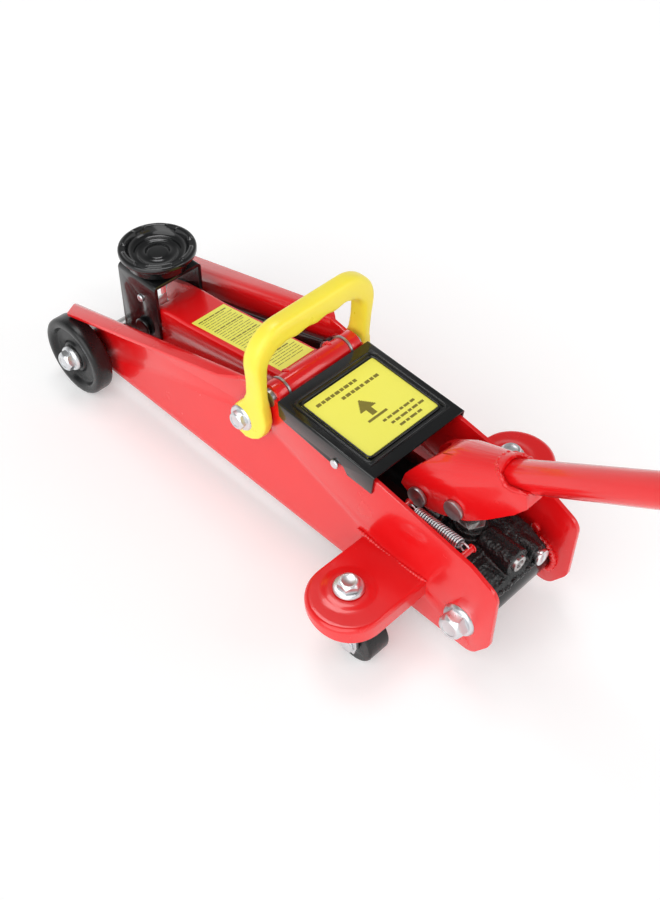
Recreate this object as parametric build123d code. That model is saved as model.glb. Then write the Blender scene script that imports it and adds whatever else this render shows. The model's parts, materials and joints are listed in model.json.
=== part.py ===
from build123d import *
import math
import os

# Hydraulic trolley jack, 2 t class.  Millimetres.  Working frame while modelling:
# x = 0 at the front axle, +X forwards, +Y to the left, z = 0 on the floor.
# The nodes are written with the overall box centred in X, so the origin of the
# files is the centre of the bottom of the box.

# ---------------------------------------------------------------- driving sizes
PLATE_T = 3.0            # side plates and pressed parts
PLATE_IN = 40.0          # half distance between the side plates, inside
PLATE_OUT = PLATE_IN + PLATE_T
RAIL_Z0 = 74.0           # height of the side plate's top flange above the axle
RAIL_SLOPE = 0.28        # the flange rises this much per mm to the rear
RAIL_FRONT, RAIL_REAR = 16.0, -190.0
RAIL_W_FRONT, RAIL_W_REAR = 57.8, 53.5
RAIL_BEND = 8.0
PLATE_REAR = -417.0

WHEEL_R = 34.0
WHEEL_IN, WHEEL_OUT = 50.0, 66.0
AXLE_R = 8.0
RUN_FIT = 0.05           # radial clearance of a running fit

ARM_PIVOT = (-210.0, 118.0)
ARM_PIN = (-46.0, 70.0)
LINK_DX, LINK_DZ = 15.0, -11.0      # tie rod pins from the arm pins
ARM_W = 19.5
ARM_TUBE_R = 9.5
SHAFT_R = 6.5

LEVER_R = 50.0
LEVER_BACK = 33.5        # the lever leans back by this angle at rest, degrees
ROLLER_R = 9.0

BRACKET_IN, BRACKET_OUT = 20.0, 23.0
BRACKET_TOP = 118.0
SADDLE_X = -41.8
SADDLE_R = 30.0
SADDLE_TOP = 135.0

COVER_FRONT, COVER_REAR = -221.0, -311.5
COVER_Z_FRONT, COVER_Z_REAR = 123.6, 118.0
COVER_W = 45.0

GRIP_BOLT = (-194.0, 96.0)
GRIP_TOP = 181.0

WING_TOP = 55.0
WING_BOLT = (-329.0, 84.0)
CASTER_R = 17.5
CASTER_TRAIL = 13.0

FULCRUM = (-330.0, 97.0)
PUMP_PIN = (-360.0, 108.0)
YOKE_W = 20.0
HANDLE_ROOT = (-400.0, 154.4)
HANDLE_ANGLE = 33.2
TUBE_R = 10.8
HANDLE_LEN = 470.0
YOKE_BEND, YOKE_SEAM = -50.0, -16.0   # where the yoke narrows, from the handle's root

RAM_Z = 70.0
RAM_R = 8.5
RAM_GAP = 1.4            # free gap between the ram's head and the lever roller
CYL_R = 15.0
CYL_WALL = 4.0
TANK_R = 25.0
TANK_Z = 65.0
TANK_FRONT = -266.0
BLOCK_FRONT = -345.0
BLOCK_TOP = 74.0
REAR_BOLT = (-391.0, 41.0)
PLUNGER_R, PLUNGER_FOOT = 5.5, 67.0
GLAND_R, GLAND_FOOT, GLAND_TOP = 8.0, 62.0, 83.5
VALVE_Z = 72.0
SPRING_Y, SPRING_Z, SPRING_R = 28.5, 91.5, 4.6

LINK_FRONT = (ARM_PIN[0] + LINK_DX, ARM_PIN[1] + LINK_DZ)
LINK_REAR = (ARM_PIVOT[0] + LINK_DX, ARM_PIVOT[1] + LINK_DZ)
ROD_IN, ROD_OUT = -31.6, -36.6      # tie rod faces, outside the bracket's right cheek

parts = {}


# ---------------------------------------------------------------- small helpers
def slab(points, y_low, y_high):
    """A plate with the outline points (x, z), lying between two y values."""
    face = make_face(Plane.XZ * Polyline(*points, close=True))
    return Pos(0, y_high, 0) * extrude(face, amount=y_high - y_low, dir=(0, -1, 0))


def deck(points, z_low, z_high):
    """A flat piece with the outline points (x, y), lying between two heights."""
    face = make_face(Polyline(*points, close=True))
    return Pos(0, 0, z_low) * extrude(face, amount=z_high - z_low)


def rod_y(x, z, radius, y_low, y_high):
    """A round bar along Y."""
    bar = Cylinder(radius, y_high - y_low, rotation=(90, 0, 0))
    return Pos(x, (y_low + y_high) / 2, z) * bar


def rod_x(y, z, radius, x_low, x_high):
    """A round bar along X."""
    bar = Cylinder(radius, x_high - x_low, rotation=(0, 90, 0))
    return Pos((x_low + x_high) / 2, y, z) * bar


def rod_z(x, y, radius, z_low, z_high):
    """A round bar along Z."""
    return Pos(x, y, (z_low + z_high) / 2) * Cylinder(radius, z_high - z_low)


def brick(x_low, x_high, y_low, y_high, z_low, z_high):
    """A block between the given limits."""
    size = (x_high - x_low, y_high - y_low, z_high - z_low)
    middle = ((x_low + x_high) / 2, (y_low + y_high) / 2, (z_low + z_high) / 2)
    return Pos(*middle) * Box(*size)


def mirror_y(shape):
    """The same piece on the other side of the jack."""
    return mirror(shape, about=Plane.XZ)


def soften(shape, radius, edges):
    """Round the edges by the largest of three radii that the shape accepts."""
    for trial in (radius, radius * 0.6, radius * 0.3):
        try:
            return fillet(edges, trial)
        except Exception:
            continue
    return shape


def hex_bolt(across, head_h, flange_r, flange_h, shank_r, shank_len):
    """Hexagon flange bolt: head up +Z, flange seated on z = 0, shank down."""
    head_r = across / math.sqrt(3)
    head = extrude(RegularPolygon(head_r, 6), amount=head_h)
    crown = Pos(0, 0, head_h / 2) * Cone(head_r * 1.35, across * 0.44, head_h)
    head = Pos(0, 0, flange_h) * (head & crown)
    head -= Pos(0, 0, flange_h + head_h) * Cylinder(across * 0.32, 1.2)
    flange = Cone(flange_r, flange_r * 0.9, flange_h)
    body = Pos(0, 0, flange_h / 2) * flange + head
    return body + Pos(0, 0, -shank_len / 2) * Cylinder(shank_r, shank_len)


def stand(x, y, z, toward):
    """Placement that turns +Z of a fastener to face +Y or -Y."""
    return Pos(x, y, z) * Rot(-90 if toward > 0 else 90, 0, 0)


def rail_z(x):
    """Height of the side plate's flange at x."""
    return RAIL_Z0 - RAIL_SLOPE * x


# ---------------------------------------------------------------- side plates
def flange_section():
    """Bent section of the flange: local x is the distance from the middle."""
    outer, inner = RAIL_BEND, RAIL_BEND - PLATE_T
    centre = PLATE_IN + RAIL_BEND
    low, wide, half = -14.0, RAIL_W_FRONT + 4, math.sqrt(0.5)
    outside = ThreePointArc((PLATE_IN, -outer), (centre - outer * half, -outer + outer * half), (centre, 0))
    inside = ThreePointArc(
        (centre, -PLATE_T), (centre - inner * half, -outer + inner * half), (PLATE_OUT, -outer))
    path = [
        Line((PLATE_IN, low), (PLATE_IN, -outer)),
        outside,
        Line((centre, 0), (wide, 0)),
        Line((wide, 0), (wide, -PLATE_T)),
        Line((wide, -PLATE_T), (centre, -PLATE_T)),
        inside,
        Line((PLATE_OUT, -outer), (PLATE_OUT, low)),
        Line((PLATE_OUT, low), (PLATE_IN, low)),
    ]
    return make_face(path)


def side_plate_right():
    """Pressed side plate: flat web, top flange turned outwards at the front."""
    run = math.hypot(1, RAIL_SLOPE)
    along = (-1 / run, 0, RAIL_SLOPE / run)
    start = Plane(origin=(RAIL_FRONT + 4, 0, rail_z(RAIL_FRONT + 4)), x_dir=(0, -1, 0), z_dir=along)
    strip = extrude(start * flange_section(), amount=(RAIL_FRONT - RAIL_REAR + 6) * run)
    keep = deck(
        [(RAIL_FRONT, -20), (RAIL_FRONT, -45), (RAIL_FRONT - 8, -RAIL_W_FRONT), (-170, -RAIL_W_REAR),
         (-183, -48.5), (RAIL_REAR, -PLATE_OUT), (RAIL_REAR, -20)], 0, 160)
    strip = strip & keep
    drop = RAIL_BEND + 1
    web = slab(
        [(RAIL_FRONT, 26), (RAIL_FRONT, rail_z(RAIL_FRONT) - drop), (RAIL_REAR + 3, rail_z(RAIL_REAR) - drop),
         (RAIL_REAR + 3, 126.2), (-216, 120.4), (-312, 113.4), (-394, 99), (PLATE_REAR, 88),
         (PLATE_REAR, 36), (-404, 16), (4, 20)],
        -PLATE_OUT, -PLATE_IN)
    corners = [e for e in web.edges().filter_by(Axis.Y) if e.center().X < -380 or e.center().Z < 30]
    web = soften(web, 12, corners)
    plate = web + strip
    plate -= rod_y(0, WHEEL_R, AXLE_R, -60, -30)
    plate -= rod_y(*ARM_PIVOT, SHAFT_R, -60, -30)
    plate -= rod_y(*GRIP_BOLT, 4, -60, -30)
    plate -= rod_y(*REAR_BOLT, 6, -60, -30)
    return plate


plate_right = side_plate_right()
parts["side_plate_right"] = plate_right
parts["side_plate_left"] = mirror_y(plate_right)


# ---------------------------------------------------------------- front axle and wheels
def front_wheel():
    """Solid moulded wheel on the left side: rim lip, dished web and hub."""
    middle = (WHEEL_IN + WHEEL_OUT) / 2
    half = (WHEEL_OUT - WHEEL_IN) / 2
    outline = [
        (AXLE_R + RUN_FIT, -half), (AXLE_R + RUN_FIT, half - 1.5), (13, half - 1.5), (14.5, half - 4), (24, half - 4),
        (26.5, half - 1.2), (28, half), (WHEEL_R - 2.5, half), (WHEEL_R, half - 2.5), (WHEEL_R, -half + 2.5),
        (WHEEL_R - 2.5, -half), (28, -half), (25, -half + 3), (14, -half + 3), (12.5, -half),
    ]
    section = make_face(Polyline(*outline, close=True))
    wheel = revolve(section, axis=Axis.Y)
    return Pos(0, middle, WHEEL_R) * wheel


wheel_left = front_wheel()
parts["front_wheel_left"] = wheel_left
parts["front_wheel_right"] = mirror_y(wheel_left)
axle = rod_y(0, WHEEL_R, AXLE_R, -WHEEL_OUT, WHEEL_OUT)
for end in (-1, 1):
    axle -= rod_y(0, WHEEL_R, 4, *sorted((end * (WHEEL_OUT - 22), end * (WHEEL_OUT + 1))))
parts["front_axle"] = axle
spacer = rod_y(0, WHEEL_R, 12, PLATE_OUT, WHEEL_IN - 0.4) - rod_y(0, WHEEL_R, AXLE_R, PLATE_OUT, WHEEL_IN)
parts["front_spacers"] = Compound([spacer, mirror_y(spacer)])
wheel_bolt = hex_bolt(15, 6.2, 11, 2.2, 4, 20)
parts["front_wheel_bolts"] = Compound(
    [stand(0, side * WHEEL_OUT, WHEEL_R, side) * wheel_bolt for side in (-1, 1)])


# ---------------------------------------------------------------- lift arm
def arm_channel():
    """Folded channel: two cheeks and a top web, rounded about the front pin."""
    px, pz = ARM_PIN
    ox, oz = ARM_PIVOT
    nose = 20.0
    outline = [
        (px + 4, pz + nose - 0.5), (-60, 95.5), (-72, 97.3), (-95, 99.6), (-197, 116.5), (ox + 4, oz + 8),
        (ox - 6, oz + 5), (ox - 8, oz - 6), (-186, 88), (-120, 63), (-70, 52), (px, pz - nose + 1),
    ]
    solid = slab(outline, -ARM_W, ARM_W) + rod_y(px, pz, nose, -ARM_W, ARM_W)
    inner = ARM_W - 4
    hollow = slab(
        [(40, 20), (40, 140), (-54, 140), (-61, 91.3), (-95, 95.6), (-194, 112), (-240, 112), (-240, 20)],
        -inner, inner)
    ridge = [e for e in solid.edges() if e.center().Z > 96 and abs(abs(e.center().Y) - ARM_W) < 0.1
             and -196 < e.center().X < -60]
    solid = soften(solid, 3, ridge)
    arm = solid - hollow
    arm += rod_y(ox, oz, ARM_TUBE_R, -29, 29)
    arm -= rod_y(ox, oz, SHAFT_R + RUN_FIT, -40, 40)
    arm -= rod_y(px, pz, 5.0 + RUN_FIT, -40, 40)
    return arm


arm = arm_channel()
parts["lift_arm"] = arm
lever_angle = -90 - LEVER_BACK
lever_tip = (ARM_PIVOT[0] + LEVER_R * math.cos(math.radians(lever_angle)),
             ARM_PIVOT[1] + LEVER_R * math.sin(math.radians(lever_angle)))


def lever_plate():
    """One of the two lever plates that the ram pushes."""
    ox, oz = ARM_PIVOT
    tx, tz = lever_tip
    ux, uz = (tx - ox) / LEVER_R, (tz - oz) / LEVER_R
    across, start = 8.0, 7.0
    sx, sz = ox + ux * start, oz + uz * start
    outline = [(sx - uz * across, sz + ux * across), (sx + uz * across, sz - ux * across),
               (tx + uz * across, tz - ux * across), (tx - uz * across, tz + ux * across)]
    plate = slab(outline, 10.4, 15.4) + rod_y(tx, tz, across, 10.4, 15.4)
    plate -= rod_y(ox, oz, ARM_TUBE_R, 0, 40)
    return plate - rod_y(tx, tz, 5, 0, 40)


lever = lever_plate()
parts["arm_lever_plates"] = Compound([lever, mirror_y(lever)])
parts["lever_roller"] = rod_y(*lever_tip, ROLLER_R, -9.9, 9.9) - rod_y(*lever_tip, 5, -20, 20)
parts["lever_roller_pin"] = rod_y(*lever_tip, 5, -15.4, 15.4)
parts["arm_shaft"] = rod_y(*ARM_PIVOT, SHAFT_R, -PLATE_OUT, PLATE_OUT)
washer = rod_y(*ARM_PIVOT, 10.5, 29.3, 31.0) - rod_y(*ARM_PIVOT, SHAFT_R, 20, 40)
parts["arm_washers"] = Compound([washer, mirror_y(washer)])
boss = rod_y(*ARM_PIVOT, 10.0, 31.0, PLATE_IN) - rod_y(*ARM_PIVOT, SHAFT_R, 20, 50)
boss = soften(boss, 1, boss.edges().filter_by(GeomType.CIRCLE).sort_by(Axis.Y)[:1])
parts["arm_bosses"] = Compound([boss, mirror_y(boss)])


def arm_top_sheet(x_front, x_rear, lift, thick):
    """Thin sheet that lies on the sloping top of the arm."""
    z_front = 99.6 + (-95 - x_front) * (116.5 - 99.6) / 102
    z_rear = 99.6 + (-95 - x_rear) * (116.5 - 99.6) / 102
    return slab([(x_front, z_front + lift), (x_rear, z_rear + lift),
                 (x_rear, z_rear + lift + thick), (x_front, z_front + lift + thick)], -16, 16)


parts["arm_label"] = arm_top_sheet(-97, -195, 0, 0.3)


# ---------------------------------------------------------------- saddle bracket and saddle
def saddle_bracket():
    """Inverted U that carries the saddle and stays level."""
    outline = [(-20, BRACKET_TOP), (-19.5, 56), (-25, 48), (-38, 48), (-58, 58), (-64, 66), (-64, BRACKET_TOP)]
    outer = slab(outline, -BRACKET_OUT, BRACKET_OUT)
    bends = [e for e in outer.edges().filter_by(Axis.X) if e.center().Z > BRACKET_TOP - 1]
    outer = soften(outer, 4, bends)
    inner = brick(-80, 0, -BRACKET_IN, BRACKET_IN, 30, BRACKET_TOP - PLATE_T)
    bracket = outer - inner
    bracket -= rod_z(SADDLE_X, 0, 8 + RUN_FIT, 100, 130)
    bracket -= rod_y(*ARM_PIN, 5, -40, 40)
    bracket -= rod_y(*LINK_FRONT, 4.5, -40, 0)
    bracket -= rod_y(-45, 98, 2, 10, 40)
    return bracket


parts["saddle_bracket"] = saddle_bracket()
pin = rod_y(*ARM_PIN, 5, -BRACKET_OUT, BRACKET_OUT)
heads = rod_y(*ARM_PIN, 8, BRACKET_OUT, BRACKET_OUT + 3.4)
heads = soften(heads, 1.6, heads.edges().filter_by(GeomType.CIRCLE).sort_by(Axis.Y)[-1:])
parts["arm_pin"] = pin + heads + mirror_y(heads)
rivet_head = rod_y(-45, 98, 3.2, BRACKET_OUT, BRACKET_OUT + 1.4)
rivet_head = soften(rivet_head, 1.2, rivet_head.edges().filter_by(GeomType.CIRCLE).sort_by(Axis.Y)[-1:])
parts["bracket_rivet"] = rod_y(-45, 98, 2, 17, BRACKET_OUT) + rivet_head


def saddle():
    """Round cast cup on a stem, with a lugged rim and a raised centre."""
    base = BRACKET_TOP + 0.4
    outline = [
        (0, base - 16), (8, base - 16), (8, base), (23, base), (26, base + 2), (26, base + 7), (SADDLE_R, base + 10),
        (SADDLE_R, SADDLE_TOP - 1), (SADDLE_R - 1, SADDLE_TOP), (25, SADDLE_TOP), (24, SADDLE_TOP - 1),
        (23.4, base + 8.6), (19, base + 8.6), (18, base + 9.8), (15, base + 9.8), (14, base + 8.6), (9, base + 8.6),
        (8, base + 10), (0, base + 10),
    ]
    section = make_face(Plane.XZ * Polyline(*outline, close=True))
    cup = revolve(section, axis=Axis.Z)
    for step in range(10):
        notch = Pos(SADDLE_R - 1.5, 0, SADDLE_TOP) * Box(9, 5, 5)
        cup -= Rot(0, 0, 36 * step) * notch
    return Pos(SADDLE_X, 0, 0) * cup


stem_core = rod_z(SADDLE_X, 0, 6.8, 100, 120)
parts["saddle"] = saddle() - (rod_z(SADDLE_X, 0, 9, 109.4, 111.6) - stem_core)
parts["saddle_clip"] = rod_z(SADDLE_X, 0, 11, 109.5, 111.5) - stem_core


def tie_rod():
    """Flat bar that keeps the saddle bracket level."""
    fx, fz = LINK_FRONT
    rx, rz = LINK_REAR
    length = math.hypot(rx - fx, rz - fz)
    nx, nz = (rz - fz) / length * 5.5, -(rx - fx) / length * 5.5
    bar = slab([(fx + nx, fz + nz), (rx + nx, rz + nz), (rx - nx, rz - nz), (fx - nx, fz - nz)], ROD_OUT, ROD_IN)
    for x, z in (LINK_FRONT, LINK_REAR):
        bar += rod_y(x, z, 8, ROD_OUT, ROD_IN)
    for x, z in (LINK_FRONT, LINK_REAR):
        bar -= rod_y(x, z, 4.5 + RUN_FIT, ROD_OUT - 1, ROD_IN + 1)
    return bar


parts["tie_rod"] = tie_rod()
front_stud = rod_y(*LINK_FRONT, 4.5, ROD_OUT, -BRACKET_IN) + rod_y(*LINK_FRONT, 7, ROD_IN + 0.3, -BRACKET_OUT)
front_stud += rod_y(*LINK_FRONT, 7, -38.7, ROD_OUT - 0.3) + rod_y(*LINK_FRONT, 4.5, -37.5, -30)
parts["tie_rod_front_pin"] = front_stud
rear_stud = rod_y(*LINK_REAR, 4.5, -PLATE_IN, -29) + rod_y(*LINK_REAR, 7, -PLATE_IN, ROD_OUT - 0.3)
rear_stud += rod_y(*LINK_REAR, 7, ROD_IN + 0.3, -29)
parts["tie_rod_rear_stud"] = rear_stud


# ---------------------------------------------------------------- carry handle
def carry_handle():
    """Moulded grip: two legs leaning back and a finger bar across."""
    bx, bz = GRIP_BOLT
    leg = [(bx + 12, bz + 8), (-196, 114), (-199, 126), (-200, 150), (-200, GRIP_TOP - 8), (-203, GRIP_TOP),
           (-213, GRIP_TOP), (-216, GRIP_TOP - 5), (-216, 130), (-218, 114), (bx - 25, bz + 4)]
    side = slab(leg, -58, 58) + rod_y(bx - 5, bz + 1, 16.5, -58, 58) + rod_y(bx - 9, bz + 8, 15, -58, 58)
    front = make_face(Plane.YZ * Polyline(
        (-57, 60), (-56.5, 120), (-57, 150), (-56, 164), (-50, 175), (-38, GRIP_TOP), (38, GRIP_TOP),
        (50, 175), (56, 164), (57, 150), (56.5, 120), (57, 60), close=True))
    envelope = Pos(-300, 0, 0) * extrude(front, amount=200, dir=(1, 0, 0))
    grip = side & envelope
    inner = PLATE_OUT + 3.2
    gap = make_face(Plane.YZ * Polyline(
        (-inner, 50), (-inner, 124), (-inner, 140), (-43, 153), (-34, 160), (34, 160), (43, 153), (inner, 140),
        (inner, 124), (inner, 50), close=True))
    grip -= Pos(-300, 0, 0) * extrude(gap, amount=200, dir=(1, 0, 0))
    for y in (-27, -9, 9, 27):
        grip -= Pos(-206, y, 155.5) * Cylinder(7.5, 60, rotation=(0, 90, 0))
    rims = [e for e in grip.edges() if e.center().Z > 100 and e.length > 6]
    grip = soften(grip, 2.5, rims)
    for side_sign in (-1, 1):
        low, high = sorted((side_sign * (PLATE_OUT + 0.1), side_sign * (PLATE_OUT + 4)))
        grip += rod_y(bx, bz, 12, low, high)
        grip -= rod_y(bx, bz, 4, *sorted((side_sign * 40, side_sign * 70)))
        grip -= rod_y(bx, bz, 12, *sorted((side_sign * 54, side_sign * 70)))
    return grip


parts["carry_handle"] = carry_handle()
grip_bolt = hex_bolt(13, 4.5, 10.5, 1.6, 4, 14.4)
parts["carry_handle_bolts"] = Compound(
    [stand(GRIP_BOLT[0], side * 54, GRIP_BOLT[1], side) * grip_bolt for side in (-1, 1)])


# ---------------------------------------------------------------- cover over the ram
def cover_top(x):
    """Height of the cover's top at x."""
    part = (COVER_FRONT - x) / (COVER_FRONT - COVER_REAR)
    return COVER_Z_FRONT + (COVER_Z_REAR - COVER_Z_FRONT) * part


def cover_plate():
    """Pressed cover with a raised frame, turned down over both side plates."""
    front, rear = COVER_FRONT, COVER_REAR
    outline = [(front, cover_top(front)), (rear, cover_top(rear)), (rear + 1.5, 102), (-288, 103), (-284, 108.5),
               (-279, 108.5), (-276, 103), (front - 6, 110), (front - 1, 112)]
    shell = slab(outline, -COVER_W, COVER_W)
    bends = [e for e in shell.edges() if abs(abs(e.center().Y) - COVER_W) < 0.1 and e.center().Z > 117]
    shell = soften(shell, 1.5, bends)
    under = [(front + 10, cover_top(front + 10) - 1.6), (rear - 10, cover_top(rear - 10) - 1.6), (rear - 10, 80),
             (front + 10, 80)]
    shell -= slab(under, -COVER_W + 1.6, COVER_W - 1.6)
    frame_face = Rectangle(74, 78) - Rectangle(68, 72)
    bead = Pos(-266.5, 0, 110) * extrude(frame_face, amount=30)
    cap = slab([(front, cover_top(front) + 1.2), (rear, cover_top(rear) + 1.2), (rear, cover_top(rear) - 0.5),
                (front, cover_top(front) - 0.5)], -COVER_W, COVER_W)
    shell += bead & cap
    for side_sign in (-1, 1):
        shell -= rod_y(-277, 106, 2, *sorted((side_sign * 40, side_sign * 50)))
    return shell


parts["cover_plate"] = cover_plate()
label_rise = 0.3
label = slab([(-235, cover_top(-235)), (-297, cover_top(-297)), (-297, cover_top(-297) + label_rise),
              (-235, cover_top(-235) + label_rise)], -35.5, 35.5)
parts["cover_label"] = label
screw = rod_y(-277, 106, 2, PLATE_OUT, COVER_W) + rod_y(-277, 106, 3.6, COVER_W, COVER_W + 2)
screw = soften(screw, 1.2, screw.edges().filter_by(GeomType.CIRCLE).sort_by(Axis.Y)[-1:])
parts["cover_screws"] = Compound([screw, mirror_y(screw)])


# ---------------------------------------------------------------- caster wings and casters
def caster_wing():
    """Pressed half-round wing on the left plate, with a turned-down rim."""
    wx, wy = WING_BOLT
    top = deck([(-300, PLATE_OUT), (-303, 70), (-303, wy), (-361, wy), (-362, PLATE_OUT)], WING_TOP - 3, WING_TOP)
    radius = 29.0
    round_end = Pos(-332, wy + 3.5, WING_TOP - 1.5) * Cylinder(radius, 3)
    top += round_end
    rim_outer = deck([(-303, wy), (-303, PLATE_OUT), (-361, PLATE_OUT), (-361, wy)], 38, WING_TOP)
    rim_outer += Pos(-332, wy + 3.5, (38 + WING_TOP) / 2) * Cylinder(radius, WING_TOP - 38)
    rim_inner = deck([(-306, wy), (-306, PLATE_OUT - 5), (-358, PLATE_OUT - 5), (-358, wy)], 30, WING_TOP - 3)
    rim_inner += Pos(-332, wy + 3.5, (30 + WING_TOP - 3) / 2) * Cylinder(radius - 3, WING_TOP - 33)
    slope = slab([(-290, 52), (-290, 60), (-380, 60), (-380, 22), (-352, 41)], 30, 130)
    shell = (rim_outer & slope) - rim_inner
    wing = top + shell
    wing += rod_z(wx, wy, 18, WING_TOP, WING_TOP + 1.2)
    keep = brick(-400, -290, PLATE_OUT, 130, 0, 70)
    wing = wing & keep
    lips = [e for e in wing.edges() if e.center().Z > WING_TOP - 0.5 and e.center().Y > PLATE_OUT + 1]
    wing = soften(wing, 1.1, lips)
    return wing - rod_z(wx, wy, 5, 20, 80)


wing_left = caster_wing()
parts["caster_wing_left"] = wing_left
parts["caster_wing_right"] = mirror_y(wing_left)
stem_bolt = hex_bolt(14, 5.5, 11, 2.0, 5, 19)
stem = Pos(WING_BOLT[0], WING_BOLT[1], WING_TOP + 1.2) * stem_bolt
stem += rod_z(*WING_BOLT, 8.5, 36.0, 39.6)
parts["caster_stem_bolts"] = Compound([stem, mirror_y(stem)])


def caster_fork():
    """Pressed fork that swivels on the stem bolt, left side, trailing."""
    wx, wy = WING_BOLT
    cx = wx - CASTER_TRAIL
    crown = rod_z(wx, wy, 14, 40.0, 43.0)
    crown += brick(cx - 4, wx + 4, wy - 13.5, wy + 13.5, 40.0, 43.0)
    for side_sign in (-1, 1):
        low, high = sorted((wy + side_sign * 11, wy + side_sign * 13.5))
        crown += slab([(wx + 6, 43), (wx - 2, 30), (cx + 6, 12), (cx - 6, 12), (cx - 8, 20), (cx - 6, 43)], low, high)
    crown -= rod_z(wx, wy, 5 + RUN_FIT, 30, 60)
    return crown - rod_y(cx, CASTER_R, 3.5, wy - 30, wy + 30)


fork_left = caster_fork()
parts["caster_fork_left"] = fork_left
parts["caster_fork_right"] = mirror_y(fork_left)
race = rod_z(*WING_BOLT, 13, 43.4, 51.6) - rod_z(*WING_BOLT, 5, 30, 60)
race = soften(race, 2, race.edges().filter_by(GeomType.CIRCLE).sort_by(Axis.Z)[:1])
parts["caster_races"] = Compound([race, mirror_y(race)])
caster_x = WING_BOLT[0] - CASTER_TRAIL
tread = rod_y(caster_x, CASTER_R, CASTER_R, WING_BOLT[1] - 9.5, WING_BOLT[1] + 9.5)
tread = soften(tread, 2, tread.edges().filter_by(GeomType.CIRCLE))
tread -= rod_y(caster_x, CASTER_R, 3.5 + RUN_FIT, 60, 110)
hub = rod_y(caster_x, CASTER_R, 6, WING_BOLT[1] - 10.6, WING_BOLT[1] + 10.6)
tread += hub - rod_y(caster_x, CASTER_R, 3.5 + RUN_FIT, 60, 110)
parts["caster_wheel_left"] = tread
parts["caster_wheel_right"] = mirror_y(tread)
caster_pin = rod_y(caster_x, CASTER_R, 3.5, WING_BOLT[1] - 13.5, WING_BOLT[1] + 13.5)
for side_sign in (-1, 1):
    face = WING_BOLT[1] + side_sign * 13.5
    caster_pin += rod_y(caster_x, CASTER_R, 5.5, *sorted((face, face + side_sign * 1.8)))
parts["caster_axle_left"] = caster_pin
parts["caster_axle_right"] = mirror_y(caster_pin)


# ---------------------------------------------------------------- hydraulic unit
def pump_block():
    """Cast block across the rear: tank seat, pump tower and valve boss."""
    body = brick(-380, BLOCK_FRONT, -30, 30, 30, BLOCK_TOP)
    body += slab([(-376, 34), (-376, BLOCK_TOP), (-386, BLOCK_TOP - 2), (-402, 64), (-405, 59), (-402, 52),
                  (-390, 34)], -31, 31)
    edges = [e for e in body.edges() if e.center().Z > 58 or e.center().X < -398]
    body = soften(body, 2.2, edges)
    body += rod_z(PUMP_PIN[0], 0, 12, 60, 80)
    body += rod_x(0, VALVE_Z, 10.5, -401, -372.5)
    body += rod_x(-19, 66, 6.5, -403, -385)
    body -= rod_z(PUMP_PIN[0], 0, GLAND_R, GLAND_FOOT, 90)
    body -= rod_z(PUMP_PIN[0], 0, PLUNGER_R + 0.4, PLUNGER_FOOT - 17, GLAND_FOOT)
    body -= rod_x(0, VALVE_Z, 6, -410, -385)
    body -= rod_x(-19, 66, 4, -410, -392)
    return body - rod_y(*REAR_BOLT, 12, -50, 50)


parts["pump_block"] = pump_block()
gland_hex = Pos(PUMP_PIN[0], 0, 80) * extrude(RegularPolygon(11, 6), amount=GLAND_TOP - 80)
pump_gland = rod_z(PUMP_PIN[0], 0, GLAND_R, GLAND_FOOT + 2, GLAND_TOP) + gland_hex
parts["pump_gland"] = pump_gland - rod_z(PUMP_PIN[0], 0, PLUNGER_R + RUN_FIT, 50, 100)
plug = rod_x(-19, 66, 4, -405.4, -392) + rod_x(-19, 66, 6, -408, -405.4)
parts["oil_plug"] = plug - Pos(-408, -19, 66) * Box(2, 1.4, 9)

cap_rear = TANK_FRONT - 6
tank = rod_x(0, TANK_Z, TANK_R, BLOCK_FRONT, cap_rear)
parts["oil_tank"] = tank - rod_x(0, TANK_Z, TANK_R - 2.5, BLOCK_FRONT - 1, cap_rear + 1)
cap = rod_x(0, TANK_Z, TANK_R + 1, cap_rear, TANK_FRONT)
parts["tank_cap"] = cap - rod_x(0, RAM_Z, CYL_R, cap_rear - 1, TANK_FRONT + 1)
cylinder = rod_x(0, RAM_Z, CYL_R, BLOCK_FRONT, TANK_FRONT + 4)
parts["ram_cylinder"] = cylinder - rod_x(0, RAM_Z, CYL_R - CYL_WALL, BLOCK_FRONT + 5, TANK_FRONT + 10)
gland = rod_x(0, RAM_Z, CYL_R - CYL_WALL, TANK_FRONT - 6, TANK_FRONT + 4)
parts["ram_gland"] = gland - rod_x(0, RAM_Z, RAM_R + RUN_FIT, TANK_FRONT - 20, TANK_FRONT + 20)
HEAD_X = lever_tip[0] - ROLLER_R - RAM_GAP
parts["ram_rod"] = rod_x(0, RAM_Z, RAM_R, BLOCK_FRONT + 7, HEAD_X - 8)
piston = rod_x(0, RAM_Z, CYL_R - CYL_WALL - RUN_FIT, BLOCK_FRONT + 7, BLOCK_FRONT + 15)
parts["ram_piston"] = piston - rod_x(0, RAM_Z, RAM_R, BLOCK_FRONT, BLOCK_FRONT + 20)
head = brick(HEAD_X - 8, HEAD_X, -9.5, 9.5, 60, 87)
parts["ram_head"] = soften(head, 2.5, head.edges().filter_by(Axis.X))


def return_spring():
    """Close-wound tension spring beside the yoke, as a tube of its outer size."""
    coil = rod_x(SPRING_Y, SPRING_Z, SPRING_R, -376, -334)
    return coil - rod_x(SPRING_Y, SPRING_Z, SPRING_R - 1.6, -380, -330)


def spring_posts():
    """Studs on the side plate's inner face that hold the spring's two ends."""
    posts = []
    for x in (-381.0, -327.0):
        post = rod_y(x, SPRING_Z, 2.2, SPRING_Y - 2.5, PLATE_IN)
        post += rod_y(x, SPRING_Z, 3.2, SPRING_Y - 3.7, SPRING_Y - 2.5)
        posts.append(post)
    return posts


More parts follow.
